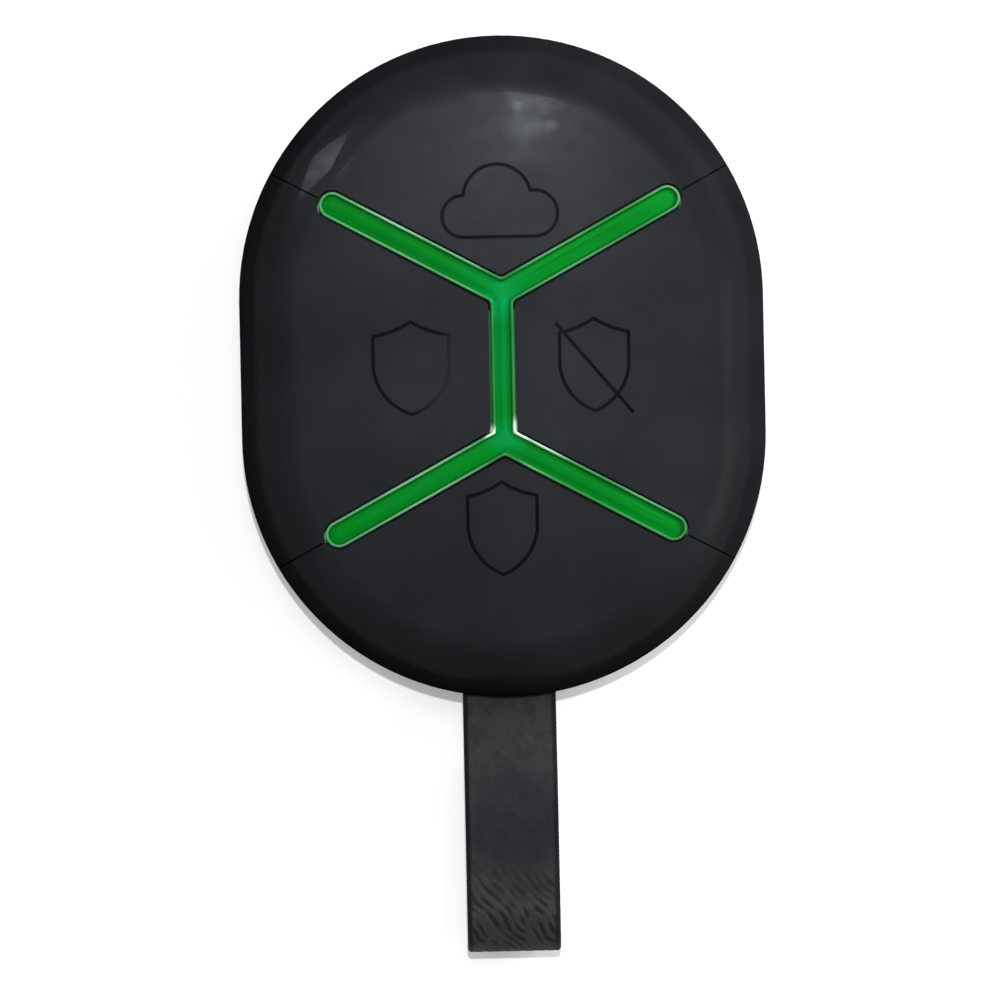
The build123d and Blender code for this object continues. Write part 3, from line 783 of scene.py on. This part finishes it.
class Wardrobe:
    """Makes each finish once and puts it on nodes and pieces."""

    def __init__(self, nodes: dict[str, bpy.types.Object]) -> None:
        """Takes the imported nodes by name."""
        self.nodes = nodes
        self.made: dict[Coat, bpy.types.Material] = {}

    def material(self, coat: Coat) -> bpy.types.Material:
        """Material of a finish, made on first use.

        Args:
            coat: The finish.

        Returns:
            Its material.
        """
        if coat not in self.made:
            self.made[coat] = coat.value.paint()
        return self.made[coat]

    def dress_object(self, thing: bpy.types.Object, coat: Coat) -> None:
        """Puts a finish in every material slot of an object.

        Args:
            thing: The object.
            coat: The finish.
        """
        if not thing.material_slots:
            thing.data.materials.append(None)
        for slot in thing.material_slots:
            slot.material = self.material(coat)

    def dress(self, coat: Coat, *names: str) -> None:
        """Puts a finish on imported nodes.

        Args:
            coat: The finish.
            *names: Names of the nodes.
        """
        for name in names:
            self.dress_object(self.nodes[name], coat)
            log.info("%s: %s", name, coat.value.label)


# Modelling


class Bench:
    """Hand modelling steps that the pieces share."""

    @staticmethod
    def clear() -> None:
        """Deselects everything."""
        bpy.ops.object.select_all(action="DESELECT")

    @staticmethod
    def pick(thing: bpy.types.Object) -> None:
        """Makes one object the only selected and the active one.

        Args:
            thing: The object.
        """
        Bench.clear()
        thing.select_set(True)
        bpy.context.view_layer.objects.active = thing

    @staticmethod
    @contextmanager
    def editing(thing: bpy.types.Object, mode: str = "VERT") -> Iterator[bmesh.types.BMesh]:
        """Edit mode on one object.

        Args:
            thing: The object.
            mode: VERT, EDGE or FACE selection.

        Yields:
            Its mesh as it stands in edit mode.
        """
        Bench.pick(thing)
        bpy.ops.object.mode_set(mode="EDIT")
        bpy.ops.mesh.select_mode(type=mode)
        yield bmesh.from_edit_mesh(thing.data)
        bpy.ops.object.mode_set(mode="OBJECT")

    @staticmethod
    def select(thing: bpy.types.Object, kind: str, test: Callable[[object], bool]) -> None:
        """Selects what passes a test.

        Args:
            thing: The object in edit mode.
            kind: verts, edges or faces.
            test: Says of one of them whether it is wanted.
        """
        bpy.ops.mesh.select_all(action="DESELECT")
        mesh = bmesh.from_edit_mesh(thing.data)
        for item in getattr(mesh, kind):
            if test(item):
                item.select_set(True)
        mesh.select_flush_mode()
        bmesh.update_edit_mesh(thing.data)

    @staticmethod
    def settle(thing: bpy.types.Object, name: str) -> bpy.types.Object:
        """Names a piece and moves its place into its mesh.

        Args:
            thing: The piece.
            name: Its name.

        Returns:
            The same piece.
        """
        thing.name = thing.data.name = name
        Bench.pick(thing)
        bpy.ops.object.transform_apply(location=True, rotation=True, scale=True)
        return thing

    @staticmethod
    def unite(thing: bpy.types.Object, tools: Sequence[bpy.types.Object]) -> None:
        """Joins other solids to a solid and removes them.

        Args:
            thing: The solid that stays.
            tools: The solids that it takes in.
        """
        for tool in tools:
            Bench.pick(thing)
            step = thing.modifiers.new("union", "BOOLEAN")
            step.operation, step.solver, step.object = "UNION", "EXACT", tool
            bpy.ops.object.modifier_apply(modifier=step.name)
            bpy.data.objects.remove(tool)


# Sub-assemblies


@dataclass
class GuideMoulding:
    """Light guide of five bars: rounded lips, a sunk core, a flange and four stalks."""

    face: FaceForm
    junction: float = 6.3
    tip: Place = (14.3, 14.05)
    half_width: float = 0.95
    flare: float = 0.16
    flange_margin: float = 0.5
    flange_height: float = 0.9
    floor: float = 7.2
    stalk_radius: float = 0.9
    stalk_floor: float = 6.55
    stalk_sides: int = 32
    stalk_chamfer: float = 0.12
    stalk_chamfer_steps: int = 2
    fillet: float = 0.5
    curve_steps: int = 8
    bar_cuts: int = 11
    long_edge: float = 3.0
    smooth_angle: float = 38.0
    least_upward: float = 0.9
    digits: int = 3

    # Steps in from the edge, each with the height of the ring there, over the face
    section: tuple[Place, ...] = (
        (0.02, 0.04), (0.06, 0.064), (0.12, 0.07), (0.18, 0.062), (0.23, 0.035),
        (0.26, -0.015), (0.3, -0.085), (0.35, -0.12), (0.43, -0.13), (0.55, -0.115),
        (0.67, -0.085), (0.78, -0.058), (0.88, -0.044),
    )

    def corners(self, half: float) -> list[Place]:
        """Square corners of the five bars' outline, counter-clockwise.

        Args:
            half: Half of the middle bar's width.

        Returns:
            Fourteen corners.
        """
        run, rise = self.tip[0], self.tip[1] - self.junction
        length = math.hypot(run, rise)
        cos, sin = run / length, rise / length
        wide = half + self.flare
        side = self.junction + (half * sin - wide) / cos
        low = (self.tip[0] + wide * (cos + sin), self.tip[1] + wide * (sin - cos))
        high = (self.tip[0] + wide * (cos - sin), self.tip[1] + wide * (sin + cos))
        top = (0.0, self.junction + wide / cos)
        right = [(half, side), low, high]
        upper = [*right, top, *((-x, y) for x, y in reversed(right))]
        return upper + [(-x, -y) for x, y in upper]

    def outline(self, half: float, name: str) -> bpy.types.Object:
        """Flat filled outline with round tips and rounded junctions.

        Args:
            half: Half of the middle bar's width.
            name: Name of the object.

        Returns:
            The object, with one face.
        """
        corners = self.corners(half)
        Bench.clear()
        bpy.ops.mesh.primitive_circle_add(vertices=len(corners), radius=MM, fill_type="NGON")
        thing = bpy.context.object
        thing.name = name
        with Bench.editing(thing) as mesh:
            mesh.verts.ensure_lookup_table()
            for vert, (x, y) in zip(mesh.verts, corners):
                vert.co = Vector((x, y, 0.0)) * MM
        run, rise = self.tip[0], self.tip[1] - self.junction
        lean = math.atan2(rise, run)
        beyond = (self.tip[1] + self.junction) / 2
        ends = {round(math.hypot(x, y), self.digits) for x, y in corners if abs(y) > beyond}
        reaches = (
            half + self.flare,
            self.fillet * math.tan(lean),
            self.fillet * math.tan((math.pi / 2 - lean) / 2),
        )
        tests = (
            lambda v: round(v.co.length / MM, self.digits) in ends,
            lambda v: abs(v.co.x) < NEAR and len(v.link_edges) == 2,
            lambda v: abs(abs(v.co.x) - half * MM) < NEAR and abs(v.co.y) < self.junction * MM,
        )
        for reach, test in zip(reaches, tests):
            with Bench.editing(thing):
                Bench.select(thing, "verts", test)
                bpy.ops.mesh.bevel(
                    offset=reach * MM,
                    segments=self.curve_steps,
                    affect="VERTICES",
                    clamp_overlap=False,
                )
                bpy.ops.mesh.select_all(action="SELECT")
                bpy.ops.mesh.remove_doubles(threshold=WELD)
        with Bench.editing(thing, "EDGE"):
            bpy.ops.mesh.select_all(action="SELECT")
            bpy.ops.mesh.delete(type="ONLY_FACE")
            Bench.select(thing, "edges", lambda e: e.calc_length() > self.long_edge * MM)
            bpy.ops.mesh.subdivide(number_cuts=self.bar_cuts)
            bpy.ops.mesh.select_all(action="SELECT")
            bpy.ops.mesh.edge_face_add()
        return thing

    def raise_up(self, thing: bpy.types.Object, rise: float) -> None:
        """Extrudes a flat outline into a closed prism.

        Args:
            thing: The outline's object.
            rise: Height of the prism.
        """
        with Bench.editing(thing, "FACE"):
            bpy.ops.mesh.select_all(action="SELECT")
            bpy.ops.mesh.extrude_region_move(TRANSFORM_OT_translate={"value": (0, 0, rise * MM)})
            bpy.ops.mesh.select_all(action="SELECT")
            bpy.ops.mesh.normals_make_consistent(inside=False)

    def bars(self) -> bpy.types.Object:
        """Bars with the section's rings on top, laid on the crowned face.

        Returns:
            The bars' object.
        """
        thing = self.outline(self.half_width, "light_guide_bars")
        self.raise_up(thing, self.floor)
        with Bench.editing(thing, "FACE"):
            Bench.select(thing, "faces", lambda f: f.normal.z > self.least_upward)
            before, level = 0.0, 0.0
            for inset, height in self.section:
                bpy.ops.mesh.inset(thickness=(inset - before) * MM, depth=(height - level) * MM)
                before, level = inset, height
        with Bench.editing(thing) as mesh:
            for vert in mesh.verts:
                x, y, z = vert.co / MM
                if z > self.floor / 2:
                    vert.co.z = (z - self.floor + self.face.height(x, y)) * MM
                else:
                    vert.co.z = self.floor * MM
        return thing

    def build(self, wardrobe: Wardrobe) -> bpy.types.Object:
        """Models the whole moulding.

        Args:
            wardrobe: The finishes.

        Returns:
            The finished piece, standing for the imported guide.
        """
        thing = self.bars()
        flange = self.outline(self.half_width + self.flange_margin, "light_guide_flange")
        self.raise_up(flange, self.flange_height)
        flange.location.z = self.floor * MM
        tools = [Bench.settle(flange, "light_guide_flange")]
        for side_x in (1, -1):
            for side_y in (1, -1):
                Bench.clear()
                depth = self.floor + self.flange_height / 2 - self.stalk_floor
                bpy.ops.mesh.primitive_cylinder_add(
                    vertices=self.stalk_sides, radius=self.stalk_radius * MM, depth=depth * MM,
                    location=(
                        side_x * self.tip[0] / 2 * MM,
                        side_y * (self.tip[1] + self.junction) / 2 * MM,
                        (self.stalk_floor + depth / 2) * MM,
                    ),
                )
                stalk = bpy.context.object
                with Bench.editing(stalk, "EDGE"):
                    Bench.select(stalk, "edges", lambda e: all(v.co.z < 0 for v in e.verts))
                    bpy.ops.mesh.bevel(
                        offset=self.stalk_chamfer * MM, segments=self.stalk_chamfer_steps
                    )
                tools.append(Bench.settle(stalk, "light_guide_stalk"))
        Bench.unite(thing, tools)
        self.mark_inset(thing)
        Bench.settle(thing, "light_guide_moulding")
        bpy.ops.object.shade_smooth_by_angle(angle=math.radians(self.smooth_angle))
        wardrobe.dress_object(thing, Coat.GUIDE)
        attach(thing, "case")
        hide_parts("light_guide")
        log.info("%s: %d faces", thing.name, len(thing.data.polygons))
        return thing

    def mark_inset(self, thing: bpy.types.Object) -> None:
        """Writes each vertex's distance in from the bars' edges as an attribute.

        Args:
            thing: The moulding.
        """
        joint = Vector((0.0, self.junction))
        arm = Vector(self.tip) - joint
        marks = thing.data.attributes.new("inset", "FLOAT", "POINT")
        for vert, mark in zip(thing.data.vertices, marks.data):
            place = Vector((abs(vert.co.x), abs(vert.co.y))) / MM
            share = clamped((place - joint).dot(arm) / arm.length_squared)
            in_arm = self.half_width + self.flare - (place - joint - arm * share).length
            in_bar = self.half_width - place.x if place.y < self.junction else 0.0
            mark.value = max(0.0, in_arm, in_bar)


@dataclass
class WovenStrap:
    """Closed loop of twill webbing that runs round its pin, out of the slot and round the fold."""

    pin_place: float = -23.65
    width: float = 8.0
    thickness: float = 0.9
    edge_radius: float = 0.32
    relief: float = 0.055
    twill: float = 1.0
    yarn: float = 0.39
    selvedge: float = 0.5
    selvedge_step: float = 0.15
    selvedge_fade: float = 0.2
    slant: float = 1.15
    wander: float = 0.55
    break_across: float = 1.1
    break_along: float = 0.75
    break_layer: float = 4.0
    break_least: float = 0.35
    break_middle: float = 0.85
    break_spread: float = 1.2
    yarn_share: float = 0.2
    flat_level: float = 0.62
    flat_ridge: float = 0.1
    flat_yarn: float = 0.06
    box_level: float = 0.7
    fold_from: float = 18.5
    fold_to: float = 22.5
    columns: int = 118
    station_step: float = 0.18

    # The line from the top of the pin and back: runs ahead, each with its shift to the left
    start_height: float = 1.8
    throat: Place = (3.4, 0.6)
    slot_run: float = 1.4
    fall: Place = (8.0, -1.95)
    lower_run: float = 10.5
    fold_radius: float = 2.95
    upper_run: float = 6.5
    rise: Place = (12.0, 2.75)
    pin_radius: float = 1.2

    def line(self) -> list[tuple[Vector, float]]:
        """Middle line in the side view.

        Returns:
            Places of (distance out from the pin, height) with the heading at each, evenly spaced.
        """
        back = (self.throat[0], -self.throat[1])
        runs = [
            *self.swing(*self.throat), (self.slot_run, 0.0),
            *self.swing(*self.fall), (self.lower_run, 0.0),
            (self.fold_radius * math.pi, 1 / self.fold_radius), (self.upper_run, 0.0),
            *self.swing(*self.rise), (self.slot_run, 0.0),
            *self.swing(*back), (self.pin_radius * math.pi, 1 / self.pin_radius),
        ]
        total = sum(length for length, _ in runs)
        count = round(total / self.station_step)
        step, place, heading = total / count, Vector((0.0, self.start_height)), 0.0
        stations, left = [], list(runs)
        length, bend = left.pop(0)
        for _ in range(count):
            stations.append((place.copy(), heading))
            ahead = step
            while ahead > TINY:
                part = min(ahead, length)
                middle = heading + bend * part / 2
                chord = part if abs(bend) < TINY else 2 * math.sin(bend * part / 2) / bend
                place += Vector((math.cos(middle), math.sin(middle))) * chord
                heading += bend * part
                ahead, length = ahead - part, length - part
                if length < TINY and left:
                    length, bend = left.pop(0)
                elif length < TINY:
                    break
        return stations

    @staticmethod
    def swing(run: float, turn: float) -> list[tuple[float, float]]:
        """Two equal arcs that shift the line aside.

        Args:
            run: How far ahead the arcs reach together.
            turn: How far to the left they shift it.

        Returns:
            Length and curvature of each arc.
        """
        angle = 2 * math.atan2(abs(turn), run)
        radius = run / (2 * math.sin(angle))
        sign = math.copysign(1.0, turn)
        return [(radius * angle, sign / radius), (radius * angle, -sign / radius)]

    def section(self, share: float) -> tuple[Vector, Vector]:
        """Point of the strap's rounded cross-section.

        Args:
            share: Place round it, from 0 to 1, starting in the middle of the outer side.

        Returns:
            The point and the outward direction there, both as (across, up).
        """
        flat, side = self.width / 2 - self.edge_radius, self.thickness / 2 - self.edge_radius
        quarter = self.edge_radius * math.pi / 2
        lengths = [flat, quarter, 2 * side, quarter, 2 * flat, quarter, 2 * side, quarter, flat]
        left = share * sum(lengths)
        corners = [(flat, side), (flat, -side), (-flat, -side), (-flat, side)]
        starts = [
            (0.0, self.thickness / 2, 1, 0), (self.width / 2, side, 0, -1),
            (flat, -self.thickness / 2, -1, 0), (-self.width / 2, -side, 0, 1),
            (-flat, self.thickness / 2, 1, 0),
        ]
        for index, length in enumerate(lengths):
            if left <= length or index == len(lengths) - 1:
                break
            left -= length
        if index % 2 == 0:
            x, y, dx, dy = starts[index // 2]
            return Vector((x + dx * left, y + dy * left)), Vector((-dy, dx))
        centre = Vector(corners[index // 2])
        angle = math.pi / 2 - (index // 2) * math.pi / 2 - left / self.edge_radius
        way = Vector((math.cos(angle), math.sin(angle)))
        return centre + way * self.edge_radius, way

    def height(self, across: float, along: float, out: float) -> float:
        """Relief of the twill, which opens up where the strap turns round its fold.

        Args:
            across: Place across the strap.
            along: Place along its line.
            out: Distance out from the pin.

        Returns:
            Height from 0 in a hollow to 1 on top of a yarn.
        """
        stray = noise.noise(Vector((across * self.wander, along * self.wander, 0.0)))
        broken = noise.noise(
            Vector((across * self.break_across, along * self.break_along, self.break_layer))
        )
        ridge = wave((self.slant * across + along) / self.twill + self.wander * stray)
        yarn = wave(across / self.yarn)
        open_up = clamped((out - self.fold_from) / (self.fold_to - self.fold_from))
        depth = clamped(self.break_middle + self.break_spread * broken, self.break_least)
        loose = 1.0 - depth * (1.0 - ridge) * (1.0 - self.yarn_share * (1.0 - yarn))
        flat = self.flat_level + self.flat_ridge * (ridge - 0.5) + self.flat_yarn * yarn
        woven = flat + (loose - flat) * open_up
        rim = self.width / 2 - abs(across)
        tight = 0.5 + 0.5 * wave(along / self.yarn)
        share = clamped((self.selvedge - rim) / self.selvedge_step)
        return woven * (1 - share) + tight * share

    def build(self, wardrobe: Wardrobe) -> bpy.types.Object:
        """Models the loop from a flat grid, rolled shut round its section and led along its line.

        Args:
            wardrobe: The finishes.

        Returns:
            The finished piece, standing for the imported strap.
        """
        stations = self.line()
        rows = len(stations)
        Bench.clear()
        bpy.ops.mesh.primitive_grid_add(x_subdivisions=self.columns, y_subdivisions=rows, size=1.0)
        thing = bpy.context.object
        mesh = thing.data
        ring = [self.section(index / self.columns) for index in range(self.columns)]
        ring.append(ring[0])
        raised = mesh.attributes.new("raised", "FLOAT", "POINT")
        rim = mesh.attributes.new("selvedge", "FLOAT", "POINT")
        spots: list[Place] = []
        for index, vert in enumerate(mesh.vertices):
            column = round((vert.co.x + 0.5) * self.columns)
            row = round((vert.co.y + 0.5) * rows) % rows
            point, way = ring[column]
            place, heading = stations[row]
            along = row * self.station_step
            lift = self.height(point.x, along, place.x)
            out = point + way * ((lift - self.box_level) * self.relief)
            side = Vector((-math.sin(heading), math.cos(heading)))
            spot = place - side * out.y
            vert.co = Vector((out.x, self.pin_place - spot.x, spot.y)) * MM
            raised.data[index].value = lift
            edge = self.width / 2 - abs(point.x)
            rim.data[index].value = clamped((self.selvedge - edge) / self.selvedge_fade)
            spots.append((point.x * MM, along * MM))
        for layer in list(mesh.uv_layers):
            mesh.uv_layers.remove(layer)
        lay = mesh.uv_layers.new(name="weave")
        for loop in mesh.loops:
            lay.data[loop.index].uv = spots[loop.vertex_index]
        with Bench.editing(thing):
            bpy.ops.mesh.select_all(action="SELECT")
            bpy.ops.mesh.remove_doubles(threshold=WELD)
            bpy.ops.mesh.normals_make_consistent(inside=False)
        Bench.settle(thing, "woven_strap")
        bpy.ops.object.shade_smooth()
        wardrobe.dress_object(thing, Coat.WEBBING)
        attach(thing, "case")
        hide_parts("strap")
        log.info("%s: %d faces", thing.name, len(mesh.polygons))
        return thing


@dataclass
class Housing:
    """Shells and fixings: key caps, rear cover, frame, screws and the strap's pin."""

    keys: tuple[str, ...] = ("key_cloud", "key_arm", "key_disarm", "key_part_arm")

    def build(self, wardrobe: Wardrobe) -> None:
        """Dresses the shells and the fixings.

        Args:
            wardrobe: The finishes.
        """
        wardrobe.dress(Coat.SATIN_BLACK, *self.keys, "rear_cover")
        wardrobe.dress(Coat.INNER_BLACK, "key_frame")
        wardrobe.dress(Coat.SCREW, "case_screws", "strap_pin")


@dataclass
class Electronics:
    """Board, its parts, the battery and the switches."""

    places: tuple[str, ...] = ("cloud", "arm", "disarm", "part_arm")

    def build(self, wardrobe: Wardrobe) -> None:
        """Dresses everything inside.

        Args:
            wardrobe: The finishes.
        """
        wardrobe.dress(Coat.BOARD, "circuit_board")
        wardrobe.dress(Coat.NICKEL, "coin_cell", "battery_clip", "crystal")
        wardrobe.dress(Coat.GOLD, "battery_contact")
        wardrobe.dress(Coat.LED, "green_leds")
        wardrobe.dress(Coat.CHIP, "radio_chip")
        wardrobe.dress(Coat.CERAMIC, "chip_passives")
        wardrobe.dress(Coat.COPPER, "antenna")
        wardrobe.dress(Coat.SWITCH, *(f"switch_{place}" for place in self.places))
        wardrobe.dress(Coat.BUTTON, *(f"plunger_{place}" for place in self.places))


# Studio


LAMP_DISTANCE = 3.0


def direction(polar: float, azimuth: float) -> Vector:
    """Direction out from the fob.

    Args:
        polar: Angle from straight up, in degrees.
        azimuth: Angle round from the right, in degrees.

    Returns:
        The direction, one unit long.
    """
    tilt, turn = math.radians(polar), math.radians(azimuth)
    flat = math.sin(tilt)
    return Vector((flat * math.cos(turn), flat * math.sin(turn), math.cos(tilt)))


@dataclass(frozen=True)
class Panel:
    """Soft lamp aimed at the fob, its sizes in metres."""

    name: str
    polar: float
    azimuth: float
    size: Place
    radiance: float
    colour: Colour = (0.9, 0.97, 1.08)
    mirrored: bool = True

    def hang(self, aim: Vector) -> None:
        """Hangs the lamp.

        Args:
            aim: Point that it faces, in metres.
        """
        lamp = bpy.data.lights.new(self.name, "AREA")
        lamp.shape, lamp.size, lamp.size_y = "RECTANGLE", self.size[0], self.size[1]
        lamp.energy = self.radiance * math.pi * self.size[0] * self.size[1]
        lamp.color = self.colour
        way = direction(self.polar, self.azimuth)
        thing = bpy.data.objects.new(self.name, lamp)
        thing.location = aim + way * LAMP_DISTANCE
        thing.visible_camera = False
        thing.visible_glossy = self.mirrored
        thing.rotation_mode = "QUATERNION"
        thing.rotation_quaternion = (-way).to_track_quat("-Z", "Y")
        bpy.context.scene.collection.objects.link(thing)


@dataclass(frozen=True)
class Card:
    """Glowing rhombic card, its sizes in metres.

    It leaves a pointed patch of light on the case's rolled corner.
    """

    name: str
    polar: float
    azimuth: float
    half: Place
    glow: float
    colour: Colour = (0.95, 0.98, 1.04)

    def hang(self, aim: Vector) -> None:
        """Hangs the card.

        Args:
            aim: Point that it faces, in metres.
        """
        Bench.clear()
        bpy.ops.mesh.primitive_circle_add(vertices=4, radius=1.0, fill_type="NGON")
        card = bpy.context.object
        card.name = self.name
        card.scale = (*self.half, 1.0)
        card.rotation_euler = (0.0, math.radians(self.polar), math.radians(self.azimuth))
        card.location = aim + direction(self.polar, self.azimuth) * LAMP_DISTANCE
        paint = Paint(self.name)
        paint.close(paint.lamp(self.colour, self.glow))
        card.data.materials.append(paint.material)
        card.visible_camera = False


@dataclass
class Studio:
    """Floor, lamps and the camera over the fob. The floor's size and the clip are in metres."""

    focal_length: float = 400.0
    frame_width: float = 85.9
    frame_height: float = 4.5
    aim: Place = (-0.215, -11.5)
    roll: float = 1.2
    lean: Place = (-0.9, -0.3)
    world_level: float = 0.15
    lamp_aim: float = 6.0
    floor_size: float = 30.0
    floor_drop: float = 0.02
    clip: Band = (0.01, 50.0)
    panels: tuple[Panel, ...] = (
        Panel("overhead_panel", 15.0, 84.0, (2.0, 1.6), 1.04),
        Panel("crown_panel", 21.5, 80.0, (0.40, 0.38), 11.0),
        Panel("side_panel", 62.0, -14.0, (1.2, 1.2), 1.9, (1.0, 0.98, 0.98)),
        Panel("fill_panel", 83.0, 32.0, (2.2, 1.2), 28.0, (1.04, 1.0, 0.98), mirrored=False),
        Panel("table_lamp", 11.0, 88.0, (0.08, 0.08), 2700.0, WHITE, mirrored=False),
    )
    card: Card = Card("window_card", 57.0, 141.5, (1.08, 0.5), 3.2)

    def build(self) -> None:
        """Sets up the floor, the world, the lamps and the camera."""
        scene = bpy.context.scene
        scene.view_settings.view_transform = "Standard"
        self.lay_floor()
        world = bpy.data.worlds.new("studio_air")
        world.use_nodes = True
        air = world.node_tree.nodes["Background"]
        air.inputs["Color"].default_value = (*WHITE, 1.0)
        air.inputs["Strength"].default_value = self.world_level
        scene.world = world
        for lamp in (*self.panels, self.card):
            lamp.hang(Vector((0.0, 0.0, self.lamp_aim * MM)))
        self.place_camera()

    def lay_floor(self) -> None:
        """Lays the pale floor just under the fob."""
        Bench.clear()
        bpy.ops.mesh.primitive_plane_add(
            size=self.floor_size, location=(0.0, 0.0, -self.floor_drop * MM)
        )
        floor = bpy.context.object
        floor.name = "pale_floor"
        floor.data.materials.append(PaleFloor("pale_floor").paint())

    def place_camera(self) -> None:
        """Places the camera straight over the fob, rolled as the picture is."""
        camera = bpy.data.cameras.new("camera")
        camera.lens = self.focal_length
        distance = self.frame_width * self.focal_length / camera.sensor_width
        camera.clip_start, camera.clip_end = self.clip
        thing = bpy.data.objects.new("camera", camera)
        aim = Vector((*self.aim, self.frame_height))
        turned = Matrix.Rotation(math.radians(-self.roll), 4, "Z")
        tipped = Matrix.Rotation(math.radians(self.lean[0]), 4, "X")
        pose = turned @ tipped @ Matrix.Rotation(math.radians(self.lean[1]), 4, "Y")
        offset = pose @ Vector((0.0, 0.0, distance))
        thing.matrix_world = Matrix.Translation((turned @ aim + offset) * MM) @ pose
        bpy.context.scene.collection.objects.link(thing)
        bpy.context.scene.camera = thing


def main() -> None:
    """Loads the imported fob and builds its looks."""
    logging.basicConfig(level=logging.INFO, format="%(name)s %(message)s")
    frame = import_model()
    for thing in list(bpy.data.objects):
        if thing.type in {"LIGHT", "CAMERA"} or thing.name == "Cube":
            bpy.data.objects.remove(thing)
    wardrobe = Wardrobe(frame["nodes"])
    Studio().build()
    for part in (Housing(), Electronics(), GuideMoulding(FaceForm()), WovenStrap()):
        part.build(wardrobe)


if __name__ == "__main__":
    main()
